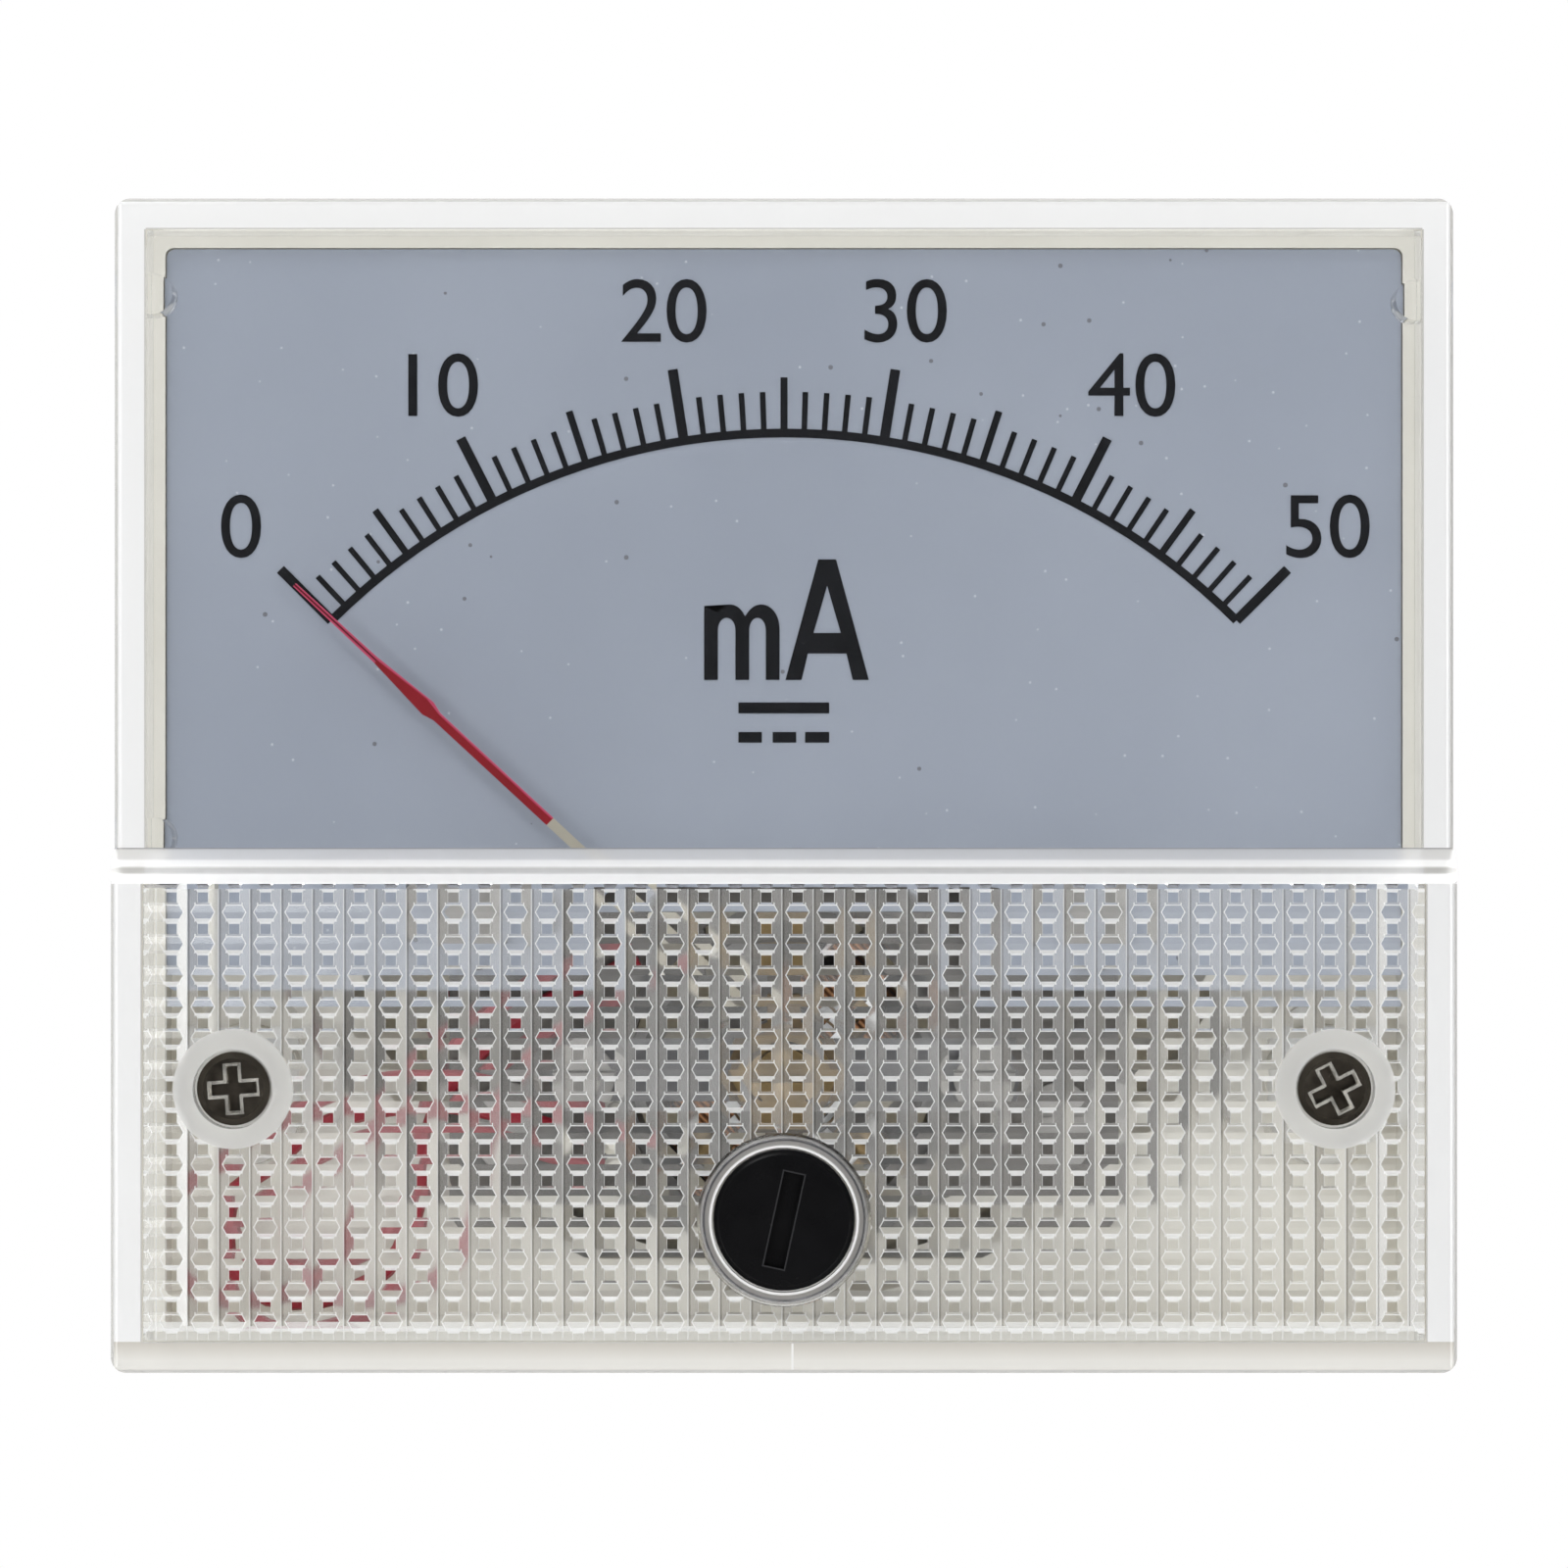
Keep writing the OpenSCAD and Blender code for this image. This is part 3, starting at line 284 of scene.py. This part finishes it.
cream = cream_moulding()
dial_paint = painted_dial()
ink = plastic("black_ink", srgb(13, 14, 18), srgb(20, 21, 26), 0.5, 5000, 0.002, Specular_IOR_Level=0.1)
bush = plastic("white_bush", srgb(206, 202, 190), srgb(224, 221, 210), 0.4)
red_sleeve = plastic("red_sleeve", srgb(136, 14, 34), srgb(152, 22, 44), 0.36, 2500)
black_sleeve = plastic("black_sleeve", srgb(18, 18, 19), srgb(34, 34, 36), 0.4, 2500)
coating = plastic("green_coating", srgb(40, 84, 66), srgb(54, 104, 82), 0.25, 1500)
jewel = plastic("ruby", srgb(150, 16, 44), srgb(196, 40, 72), 0.1, 4000, 0.001, Transmission_Weight=0.6)


# The pointer, at rest up and to the left at 45 degrees from its pivot: sizes along and across it
NEEDLE_FROM, NEEDLE_HALF = 28 * MM, 0.15 * MM
SWELLING_AT, SWELLING_HALF = 25 * MM, 0.4 * MM
BLADE_TO, BLADE_HALF = 24 * MM, 0.24 * MM
LACQUER_FROM = 16.6 * MM
ON_LINE_AT, OFF_LINE = 33.4 * MM, 0.0384


def red_lacquer():
    """The folded blade has a painted highlight along its right edge, the needle painted highlights along its
    sides and painted shade down its middle, and the lower end is bare.
    """
    look = plastic("red_lacquer", srgb(118, 8, 20), srgb(138, 14, 30), 0.35, 3000, 0.002,
        Specular_IOR_Level=0.2)
    px, _, pz = look.axes()
    rise = look.minus(pz, PIVOT_Z)
    reach = look.product(look.minus(rise, px), math.sqrt(0.5))
    aside = look.product(look.math("ADD", px, rise), math.sqrt(0.5))
    aside = look.minus(aside, look.product(look.minus(ON_LINE_AT, reach), OFF_LINE))

    needle = look.beyond(reach, NEEDLE_FROM)
    off_middle = look.beyond(look.size(aside), 0.045 * MM)
    upper_half = look.slope(reach, NEEDLE_FROM, NEEDLE_HALF, SWELLING_AT, SWELLING_HALF)
    lower_half = look.slope(reach, SWELLING_AT, SWELLING_HALF, BLADE_TO, BLADE_HALF)
    half_width = look.math("MINIMUM", upper_half, lower_half)
    highlit_edge = look.beyond(aside, look.minus(half_width, 0.1 * MM))
    # Painted highlight along the blade's right edge and along the needle's sides.
    look.paint(look.most(highlit_edge, look.product(needle, off_middle)), srgb(182, 66, 98))
    # Painted shade down the needle's middle.
    look.paint(look.product(needle, look.minus(1, off_middle)), srgb(88, 6, 20))

    bare = look.below(reach, LACQUER_FROM)
    look.paint(bare, (0.46, 0.43, 0.36))
    look.feed("Metallic", look.product(bare, 0.6))
    return look


# The adjuster's slot, which leans to the right
SLOT_LEAN = math.radians(12.4)
SLOT_L, SLOT_W = 4.56 * MM, 0.98 * MM
# width of the painted highlight round the slot's edge
SLOT_GLINT_WIDTH = 0.07 * MM


def black_moulding():
    """The adjuster, with a faint painted highlight round the edge of its slot."""
    look = plastic("black_moulding", srgb(6, 6, 7), srgb(12, 12, 14), 0.25, 3000, 0.004,
        Specular_IOR_Level=0.12)
    px, py, pz = look.axes()
    drop = look.minus(pz, ADJUSTER_Z)
    along, across = look.turned(px, drop, math.sin(SLOT_LEAN), math.cos(SLOT_LEAN))
    edge = look.size(look.past_outline(along, across, SLOT_L, SLOT_W))
    near_front = look.below(py, ADJUSTER_FRONT + 0.3 * MM)
    # Painted highlight along the slot's edge.
    look.paint(look.product(look.below(edge, SLOT_GLINT_WIDTH), near_front), (0.03, 0.03, 0.032))
    return look


lacquer = red_lacquer()
black = black_moulding()


# Metals
steel = metal("nickel_plate", (0.62, 0.61, 0.58), (0.78, 0.77, 0.74), 0.24)
aluminium = metal("bare_aluminium", (0.74, 0.75, 0.77), (0.86, 0.87, 0.88), 0.34, scale=(1, 0.1, 1))
iron = metal("soft_iron", (0.13, 0.125, 0.12), (0.19, 0.185, 0.18), 0.5, 1600)
plate = metal("grey_plate", (0.09, 0.085, 0.08), (0.145, 0.135, 0.125), 0.5, 2400, (0.1, 1, 1))
dull_steel = metal("dull_steel", (0.24, 0.235, 0.225), (0.34, 0.33, 0.32), 0.5, 2000)
alloy = metal("magnet_alloy", (0.16, 0.16, 0.17), (0.24, 0.24, 0.25), 0.55, 900)
brass = metal("turned_brass", (0.18, 0.128, 0.06), (0.28, 0.20, 0.10), 0.38, 3000, (1, 6, 1))
bronze = metal("bronze_strip", (0.13, 0.095, 0.06), (0.19, 0.145, 0.09), 0.45, 900)
dark_bridge = metal("black_finish", (0.10, 0.10, 0.105), (0.16, 0.16, 0.165), 0.45, 2400)
tin = metal("tinned", (0.66, 0.64, 0.58), (0.80, 0.78, 0.72), 0.32)

# The cross in each cover screw's head, the left one and the right one turned by their own angles
CROSS_L, CROSS_W = 2.3 * MM, 0.7 * MM
CROSS_LEFT, CROSS_RIGHT = math.radians(4), math.radians(27)
# width of the painted highlight round each cross
CROSS_GLINT_WIDTH = 0.08 * MM
HEADS_END = -10 * MM


def cross_marks(look):
    """Painted highlights round the crosses of the pair of cover screws."""
    px, py, pz = look.axes()
    on_right = look.beyond(px, 0.0)
    turn = look.math("ADD", CROSS_LEFT, look.product(on_right, CROSS_RIGHT - CROSS_LEFT))
    x = look.minus(px, look.product(look.math("SIGN", px), BOSS_X))
    z = look.minus(pz, BOSS_Z)
    u, v = look.turned(x, z, look.math("COSINE", turn), look.math("SINE", turn))
    arms = [look.past_outline(along, across, CROSS_L, CROSS_W) for along, across in ((u, v), (v, u))]
    edge = look.size(look.math("MINIMUM", *arms))
    # Painted highlight round each cross, on the heads' fronts.
    cross_glint = look.product(look.below(edge, CROSS_GLINT_WIDTH), look.below(py, HEADS_END))
    look.paint(cross_glint, (0.72, 0.70, 0.64))


screw_metal = metal("dark_nickel", (0.05, 0.043, 0.033), (0.095, 0.083, 0.068), 0.22, 1500)
thread(screw_metal, 0.4 * MM, 0.5 * MM, BOSS_X, BOSS_Z)
cross_marks(screw_metal)
stud_metal = metal("terminal_brass", (0.66, 0.62, 0.50), (0.80, 0.77, 0.66), 0.28)
thread(stud_metal, 0.7 * MM, 20 * MM, TERMINAL_X, TERMINAL_Z)


def enamelled_copper():
    """Fine wire wound round the coil."""
    look = Look("enamelled_copper", 0.3, 0.9)
    inputs = {"Vector": look.stretched((0.7, 0, 0.7)), "Scale": 2200, "Distortion": 0.4}
    turns = look.add("ShaderNodeTexWave", inputs, bands_direction="DIAGONAL").outputs["Fac"]
    look.feed("Base Color", look.ramp(turns, (0.1, (0.12, 0.05, 0.02)), (0.8, (0.38, 0.18, 0.08))))
    look.bump(turns, 0.03 * MM, 0.8)
    return look


wound = enamelled_copper()


# The clear cover

LOWER_EDGE, UPPER_EDGE = 2 * MM, 1.6 * MM   # how far back the front edges' frosting reaches
CREASE = 0.07 * MM                          # line of painted shade where the wall's front meets the window
FOOT_SHADE_TO = -27.4 * MM                  # the lowest wall's shade fades towards this height
GATE = (0.35 * MM, 0.45 * MM)               # pale mark of the moulding gate in the lowest wall
BOSS_R = 2.84 * MM
COLLAR = (3.3 * MM, 3.8 * MM)               # radii of the collar round the adjuster
COLLAR_HIGHLIGHT = (3.43 * MM, 3.56 * MM)
COLLAR_FOOT = (3.6 * MM, 4.02 * MM)
COLLAR_SHADE = (3.76 * MM, 3.9 * MM)
GRID_X, GRID_WIDE = -0.1 * MM, 1.49 * MM    # a groove's place and the distance between grooves
GRID_Z, GRID_TALL = -6.1 * MM, 1.5 * MM     # a level channel's place and the distance between channels
GRID_FRONT, GRID_BACK = -13.9 * MM, -13.3 * MM
GROOVE_HALF, GROOVE_DEEP = 0.5 * MM, 0.27
CHANNEL_FLAT, CHANNEL_HALF = 0.33 * MM, 0.46 * MM
CHANNEL_DEEP, CHANNEL_EDGE = 0.17, 0.07
# half-width of each seam's painted highlight, and how far the painted shade beside it reaches
SEAM_HALF, SEAM_SHADE_TO = 0.03 * MM, 0.12 * MM
GLINT_BELOW = 0.56 * MM                     # how far below a channel's middle its glint reaches down
STEP_SKIN = 0.1 * MM                        # how far behind the window's front the step's painted bands of highlight and shade reach


class Cover(Look):
    """Clear to the eye and open to light, frosted and tinted where it is moulded rough, with painted
    highlights and painted shade among the tints.
    """

    def __init__(self):
        super().__init__("clear_cover", 0.02, IOR=1.49)
        self.px, self.py, self.pz = self.axes()
        self.wide = self.size(self.px)
        self.tall = self.size(self.pz)
        normal = self.add("ShaderNodeNewGeometry").outputs["True Normal"]
        self.slant, facing, _ = self.add("ShaderNodeSeparateXYZ", {0: normal}).outputs
        self.facing = self.size(facing)
        self.forward = self.below(self.py, DIAL_FRONT)
        self.walls = self.most(self.beyond(self.wide, WALL_W), self.beyond(self.tall, WALL_H))

        self.tint = (0.985, 0.99, 0.988)
        self.frost = []
        self.rough = [self.slope(self.noise(4000, 3), 0.0, 0.0, 1.0, 0.03)]
        self.bosses()
        self.collar()
        self.front_edges()
        self.grid()
        self.collar_highlight()
        self.step()
        self.join()

    def layer(self, mask, colour, frost=None, rough=None):
        """A colour laid over the tint so far, with the frosting and roughness that go with it."""
        self.tint = self.mix(mask, self.tint, colour)
        if frost is not None:
            self.frost.append(self.product(mask, frost))
        if rough is not None:
            self.rough.append(self.product(mask, rough))

    def ring(self, x, z, low, high):
        """A mask of the front's places between two radii about x, z."""
        r = self.distance(x, self.minus(self.pz, z))
        return self.product(self.within(r, low, high), self.forward)

    def bosses(self):
        """The frosted discs round the two screws."""
        boss = self.ring(self.minus(self.wide, BOSS_X), BOSS_Z, 0.0, BOSS_R)
        self.layer(boss, (0.84, 0.84, 0.83), 0.4, 0.5)

    def collar(self):
        """The collar round the adjuster and the ring at its foot, a little frosted and greyed with painted
        shade, with a dark line of painted shade in the ring.
        """
        # Painted shade: grey over the collar and the ring at its foot, and a dark line in that ring.
        self.layer(self.ring(self.px, ADJUSTER_Z, *COLLAR), (0.5, 0.49, 0.47), 0.2, 0.3)
        self.layer(self.ring(self.px, ADJUSTER_Z, *COLLAR_FOOT), (0.42, 0.41, 0.40), 0.4)
        self.layer(self.ring(self.px, ADJUSTER_Z, *COLLAR_SHADE), (0.14, 0.14, 0.15))

    def collar_highlight(self):
        """The painted highlight round the collar."""
        # Painted highlight: a white line round the collar.
        self.layer(self.ring(self.px, ADJUSTER_Z, *COLLAR_HIGHLIGHT), WHITE, 0.7)

    def front_edges(self):
        """The walls' pale front faces, a line of painted shade where they meet the window, and painted shade
        greying their rounded edges.
        """
        lower = self.below(self.py, cover_low.y + LOWER_EDGE)
        upper = self.product(self.beyond(self.pz, STEP_HIGH), self.below(self.py, WINDOW_FRONT + UPPER_EDGE))
        fore = self.most(lower, upper)
        brim = self.product(self.walls, self.beyond(self.facing, 0.8), fore)
        self.layer(brim, (0.97, 0.98, 1.0), 0.74, 0.12)

        foot = self.product(brim, self.below(self.pz, -WALL_H))
        fade = self.slope(self.pz, -WALL_H, 0.0, FOOT_SHADE_TO, 1.0)
        self.layer(foot, self.ramp(fade, (0.0, (0.64, 0.61, 0.56)), (1.0, (0.88, 0.87, 0.84))))
        self.layer(self.product(foot, self.within(self.px, *GATE)), WHITE)

        # Painted shade in the crease where the wall's front meets the window.
        beside = self.product(self.within(self.wide, WALL_W, WALL_W + CREASE), self.below(self.tall, WALL_H))
        across = self.product(self.within(self.tall, WALL_H, WALL_H + CREASE), self.below(self.wide, WALL_W))
        self.layer(self.product(brim, self.most(beside, across)), (0.62, 0.61, 0.60))

        # Painted shade greying the rounded edges.
        rounded = self.product(self.walls, self.within(self.facing, 0.05, 0.8), fore)
        self.layer(rounded, (0.68, 0.68, 0.68), 0.6)

    def past_line(self, value, first, pitch):
        """Distance past the nearest of the lines at first + n * pitch, negative before it."""
        turns = self.math("ADD", self.math("DIVIDE", self.minus(value, first), pitch), 0.5)
        return self.product(self.minus(self.math("FRACT", turns), 0.5), pitch)

    def grid_rims(self, from_groove, from_channel):
        """Lines where the faces of a groove and of a channel meet, and along the channel's edges."""
        groove = self.slope(from_groove, 0.0, GROOVE_DEEP, GROOVE_HALF, 0.0)
        channel = self.product(self.slope(from_channel, 0.0, CHANNEL_DEEP, CHANNEL_FLAT, CHANNEL_EDGE),
            self.below(from_channel, CHANNEL_HALF))
        meet = self.below(self.size(self.minus(groove, channel)), 0.014)
        cut = self.beyond(self.most(groove, channel), 0.004)
        along = self.below(self.size(self.minus(from_channel, CHANNEL_FLAT)), 0.022 * MM)
        return self.most(self.product(meet, cut), self.product(along, self.below(groove, CHANNEL_EDGE)))

    def grid(self):
        """The moulded grid inside the lower front: rough slopes, painted shade on the slopes that face one
        way and beside each seam, and painted highlights below each channel, along the lines where faces meet
        and along each seam.
        """
        from_groove = self.size(self.past_line(self.px, GRID_X, GRID_WIDE))
        above_channel = self.past_line(self.pz, GRID_Z, GRID_TALL)
        from_channel = self.size(above_channel)
        inside = self.product(self.within(self.py, GRID_FRONT, GRID_BACK),
            self.below(self.pz, STEP_LOW - 0.25 * MM), self.minus(1, self.walls))
        self.rough.append(self.product(inside, 0.04))

        # Painted shade: the slopes that face one way get the darker tint.
        shaded = self.beyond(self.slant, 0.1)
        tilt = self.product(self.slope(self.facing, 0.99, 0.0, 0.9, 1.0), inside)
        self.layer(tilt, self.mix(shaded, (0.93, 0.92, 0.90), (0.74, 0.725, 0.70)), 0.24, 0.13)
        # Painted shade beside each seam, on its shaded side.
        seam_shade = self.product(self.within(from_groove, SEAM_HALF, SEAM_SHADE_TO), shaded, inside)
        self.layer(seam_shade, (0.36, 0.35, 0.33))

        corner = self.slope(from_channel, CHANNEL_FLAT, 0.36 * MM, 0.58 * MM, GROOVE_HALF)
        # Painted highlight below each channel's middle.
        glint = self.product(self.within(above_channel, -GLINT_BELOW, -CHANNEL_FLAT),
            self.beyond(from_groove, corner), inside)
        self.layer(glint, WHITE, 0.7)
        # Painted highlights along the rims and along the seams.
        self.layer(self.product(self.grid_rims(from_groove, from_channel), inside), WHITE, 0.75)
        self.layer(self.product(self.below(from_groove, SEAM_HALF), inside), WHITE, 0.5)

    def step(self):
        """The sloped step: bands of painted highlight and painted shade that run across it, from its top to
        its foot.
        """
        sloped = self.product(self.within(self.pz, STEP_LOW, STEP_HIGH),
            self.below(self.py, WINDOW_FRONT + STEP_SKIN))
        down = self.slope(self.pz, STEP_HIGH, 0.0, STEP_LOW, 1.0)
        # Painted shade at the top edge, painted highlights in the white bands, grey painted shade between
        # them.
        light_and_shade_bands = (
            (0.0, (0.3, 0.3, 0.31)),
            (0.07, (0.74, 0.74, 0.75)),
            (0.3, (0.8, 0.8, 0.81)),
            (0.36, (0.98, 0.98, 0.98)),
            (0.5, (0.98, 0.98, 0.98)),
            (0.58, (0.5, 0.49, 0.48)),
            (0.68, (0.55, 0.55, 0.55)),
            (0.74, WHITE),
            (1.0, WHITE),
        )
        frosting = ((0.0, 0.6), (0.3, 0.6), (0.36, 0.85), (0.5, 0.85), (0.58, 0.5), (0.68, 0.5), (0.74, 0.95),
            (1.0, 0.95))
        frost = self.ramp(down, *((place, (level,) * 3) for place, level in frosting))
        self.layer(sloped, self.ramp(down, *light_and_shade_bands), frost, 0.2)

    def join(self):
        """Feeds the shader with what the layers have gathered."""
        self.feed("Base Color", self.tint)
        self.feed("Roughness", self.most(*self.rough))
        self.feed("Transmission Weight", self.minus(1, self.most(*self.frost)))
        self.bump(self.noise(260, 2), 0.01 * MM, 0.15)
        self.pass_light(1.0, (0.985, 0.988, 0.985))


clear = Cover()


# Which look each piece wears

LOOKS = {
    "clear_cover": clear, "cream_base": cream, "dial_paint": dial_paint, "print_black": ink,
    "pointer_red": lacquer, "bright_steel": steel, "dark_nickel": screw_metal, "iron_grey": iron,
    "plate_grey": plate, "magnet_dark": alloy, "brass": brass, "bronze_strip": bronze,
    "copper_winding": wound, "bright_aluminium": aluminium, "black_bridge": dark_bridge,
    "jewel_red": jewel, "black_plastic": black, "red_pvc": red_sleeve, "black_pvc": black_sleeve,
    "tinned": tin, "white_bush": bush, "resistor_green": coating,
}
DULL_SCREWS = ("dial_screws", "frame_screws", "pole_screws", "bridge_screws", "rear_bridge_screws")

for part in frame["record"]["subparts"]:
    look = LOOKS[part["material_slot"]]
    if part["node"] == "terminal_studs":
        look = stud_metal
    elif part["node"] in DULL_SCREWS:
        look = dull_steel
    mesh = nodes[part["node"]].data
    mesh.materials.clear()
    mesh.materials.append(look.material)


# Print on the dial and signs on the back

INK_THICK = 0.04 * MM


def piece(name, mesh, look, body="case"):
    thing = bpy.data.objects.new(name, mesh)
    bpy.context.scene.collection.objects.link(thing)
    mesh.materials.clear()
    mesh.materials.append(look.material)
    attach(thing, body)
    return thing


def printed(name, outlines):
    """Flat shapes given by their X and Z in millimetres, as thick as ink, standing on the dial."""
    mesh = bpy.data.meshes.new(name)
    shape = bmesh.new()
    for outline in outlines:
        corners = [shape.verts.new((x * MM, DIAL_FRONT, z * MM)) for x, z in outline]
        face = shape.faces.new(corners)
        grown = bmesh.ops.extrude_face_region(shape, geom=[face])
        moved = [v for v in grown["geom"] if isinstance(v, bmesh.types.BMVert)]
        bmesh.ops.translate(shape, verts=moved, vec=(0, -INK_THICK, 0))
    bmesh.ops.recalc_face_normals(shape, faces=shape.faces)
    shape.to_mesh(mesh)
    shape.free()
    return piece(name, mesh, ink)


def arc_points(middle, spring, reach, rise, start, end, steps=12):
    """Points on part of an ellipse, from angle start to angle end, in degrees."""
    angles = [math.radians(start + (end - start) * i / steps) for i in range(steps + 1)]
    return [(middle + reach * math.cos(t), spring + rise * math.sin(t)) for t in angles]


def small_m():
    """The m as one outline: a left stem, then two arches that share the middle stem."""
    base, top, notch, stem = 5.04, 8.62, 8.3, 0.665
    left, middle, right = -3.87, -2.353, -0.88
    outer_spring, outer_rise = 7.55, 1.15
    inner_spring, inner_rise = 7.45, 0.6
    outline = [(left, base), (left, top), (left + stem, top), (left + stem, notch)]
    outline += arc_points(-2.62, outer_spring, 0.85, outer_rise, 140, 30)
    outline += arc_points(right + stem - 0.885, outer_spring, 0.885, outer_rise, 140, 0)
    outline += [(right + stem, base)]
    for stem_left, stem_right in ((middle, right), (left, middle)):
        half = (stem_right - stem_left - stem) / 2
        outline += [(stem_right, base)]
        outline += arc_points(stem_right - half, inner_spring, half, inner_rise, 0, 180)
        outline += [(stem_left + stem, base)]
    return [outline]


def large_a():
    """The A as two legs that meet, with the bar between them."""
    base, top, middle, foot = 5.04, 10.88, 2.09, 2.02
    bar_low, bar_high, inner_top = 6.32, 7.32, 9.6
    left_leg = [(middle - foot, base), (middle - foot + 0.78, base), (middle - 0.93, bar_low),
        (middle, bar_low), (middle, bar_high), (middle - 0.66, bar_high),
        (middle, inner_top), (middle, top), (middle - 0.43, top)]
    right_leg = [(2 * middle - x, z) for x, z in reversed(left_leg)]
    return [left_leg, right_leg]


def direct_current_bars():
    """A long bar above three short ones."""
    long_low, long_high, short_low, short_high = 3.42, 3.95, 2.0, 2.52
    bars = [(-2.21, 2.19, long_low, long_high)]
    bars += [(x0, x1, short_low, short_high) for x0, x1 in ((-2.21, -1.07), (-0.55, 0.59), (1.02, 2.19))]
    return [[(x0, z0), (x1, z0), (x1, z1), (x0, z1)] for x0, x1, z0, z1 in bars]


printed("letter_m", small_m())
printed("letter_a", large_a())
printed("direct_current_sign", direct_current_bars())


def written(name, text, size, x, y, z, thick, look, back=False):
    """Words as a mesh standing on the plane at y, read from the front or from behind."""
    curve = bpy.data.curves.new(name, "FONT")
    curve.body = text
    curve.size = size
    curve.align_x = "CENTER"
    curve.align_y = "CENTER"
    curve.extrude = thick / 2
    curve.resolution_u = 6
    loose = bpy.data.objects.new(name, curve)
    mesh = bpy.data.meshes.new_from_object(loose)
    for v in mesh.vertices:
        across = -v.co.x if back else v.co.x
        out = thick / 2 + v.co.z
        v.co = Vector((x + across, y + out if back else y - out, z + v.co.y))
    bpy.data.objects.remove(loose)
    bpy.data.curves.remove(curve)
    mesh.name = name
    return piece(name, mesh, look)


# Tens of the scale, which sweeps from 45 degrees left of upright to 45 degrees right
NUMBER_R, NUMBER_SIZE = 37.2 * MM, 4.4 * MM
for i in range(6):
    lean = math.radians(-45 + 18 * i)
    written("number_%d" % (10 * i), str(10 * i), NUMBER_SIZE, NUMBER_R * math.sin(lean), DIAL_FRONT,
        PIVOT_Z + NUMBER_R * math.cos(lean), INK_THICK, ink)

SIGN_SIZE, SIGN_THICK = 7 * MM, 0.3 * MM
SIGN_Z = TERMINAL_Z + 8.5 * MM
for name, text, x in (("plus_sign", "+", -TERMINAL_X), ("minus_sign", "–", TERMINAL_X)):
    written(name, text, SIGN_SIZE, x, BARREL_BACK, SIGN_Z, SIGN_THICK, cream, back=True)


# Stage: a pale floor below and behind the meter

FLOOR_Z = cover_low.z - 45 * MM
FLOOR_HALF, FLOOR_FRONT, FLOOR_BACK = 3, -0.4, 3
SHADOW_TO, WHITE_FROM = 0.16, 0.34


def pale_floor():
    """Holds the meter's shadow, and is white further out to whoever sees it, straight or mirrored."""
    look = plastic("pale_floor", (0.86, 0.86, 0.86), (0.88, 0.88, 0.88), 0.8, 300, 0.001)
    rays = look.add("ShaderNodeLightPath").outputs
    seen = look.most(rays["Is Camera Ray"], rays["Is Transmission Ray"], rays["Is Glossy Ray"])
    px, py, _ = look.axes()
    far = look.slope(look.distance(px, py), SHADOW_TO, 0.0, WHITE_FROM, 1.0)
    glow = look.add("ShaderNodeEmission", {"Color": (*WHITE, 1), "Strength": 1.0})
    look.blend(look.product(seen, far), glow)
    return look


def flat(name, corners, look):
    mesh = bpy.data.meshes.new(name)
    mesh.from_pydata(corners, [], [(0, 1, 2, 3)])
    mesh.materials.append(look.material)
    thing = bpy.data.objects.new(name, mesh)
    bpy.context.scene.collection.objects.link(thing)


flat("floor", [(-FLOOR_HALF, FLOOR_FRONT, FLOOR_Z), (FLOOR_HALF, FLOOR_FRONT, FLOOR_Z),
    (FLOOR_HALF, FLOOR_BACK, FLOOR_Z), (-FLOOR_HALF, FLOOR_BACK, FLOOR_Z)], pale_floor())


def lamp(name, place, width, height, power):
    """A soft lamp aimed at the meter's middle."""
    data = bpy.data.lights.new(name, "AREA")
    data.shape = "RECTANGLE"
    data.size, data.size_y = width, height
    data.energy = power
    thing = bpy.data.objects.new(name, data)
    thing.location = place
    thing.rotation_euler = (-Vector(place)).to_track_quat("-Z", "Y").to_euler()
    bpy.context.scene.collection.objects.link(thing)


lamp("key", (-0.3, -0.45, 0.7), 0.5, 0.5, 3.4)
lamp("left", (-0.32, -0.75, -0.05), 0.28, 0.4, 1.35)
lamp("right", (0.32, -0.75, -0.05), 0.28, 0.4, 1.75)
lamp("low", (0, -0.75, -0.32), 0.5, 0.15, 1.3)
lamp("overhead", (0, 0.27, 0.58), 0.6, 0.16, 2.5)


def white_surround():
    """White where it is seen straight, through the clear cover or mirrored from behind.

    As a light it is dimmest in front, so that no haze lies on the dial and the blacks.
    """
    world = bpy.data.worlds.new("white_surround")
    bpy.context.scene.world = world
    world.use_nodes = True
    graph = Graph(world.node_tree)
    generated = graph.add("ShaderNodeTexCoord").outputs["Generated"]
    heading = graph.add("ShaderNodeSeparateXYZ", {0: generated}).outputs[1]
    rays = graph.add("ShaderNodeLightPath").outputs
    clean = graph.product(rays["Is Transmission Ray"], graph.below(rays["Glossy Depth"], 0.5))
    mirrored = graph.most(rays["Is Glossy Ray"], rays["Is Transmission Ray"])
    behind = graph.slope(heading, -0.1, 0.0, 0.2, 1.0)
    white = graph.most(rays["Is Camera Ray"], clean, graph.product(mirrored, behind))
    light = graph.slope(heading, -0.95, 0.05, -0.35, 0.5)
    strength = graph.add("ShaderNodeMix", {0: white, 2: light, 3: 1.0}).outputs[0]
    shade = world.node_tree.nodes["Background"]
    shade.inputs["Color"].default_value = (*WHITE, 1)
    graph.tree.links.new(strength, shade.inputs["Strength"])


white_surround()


# Camera straight in front, with a long lens

CAMERA_AWAY = 0.442
view = bpy.data.cameras.new("camera")
view.sensor_width = 36
view.lens = 206.4
view.clip_start = 0.01
camera = bpy.data.objects.new("camera", view)
camera.location = (0, -CAMERA_AWAY, 0)
camera.rotation_euler = (math.pi / 2, 0, 0)
bpy.context.scene.collection.objects.link(camera)
bpy.context.scene.camera = camera
bpy.context.scene.view_settings.view_transform = "Standard"
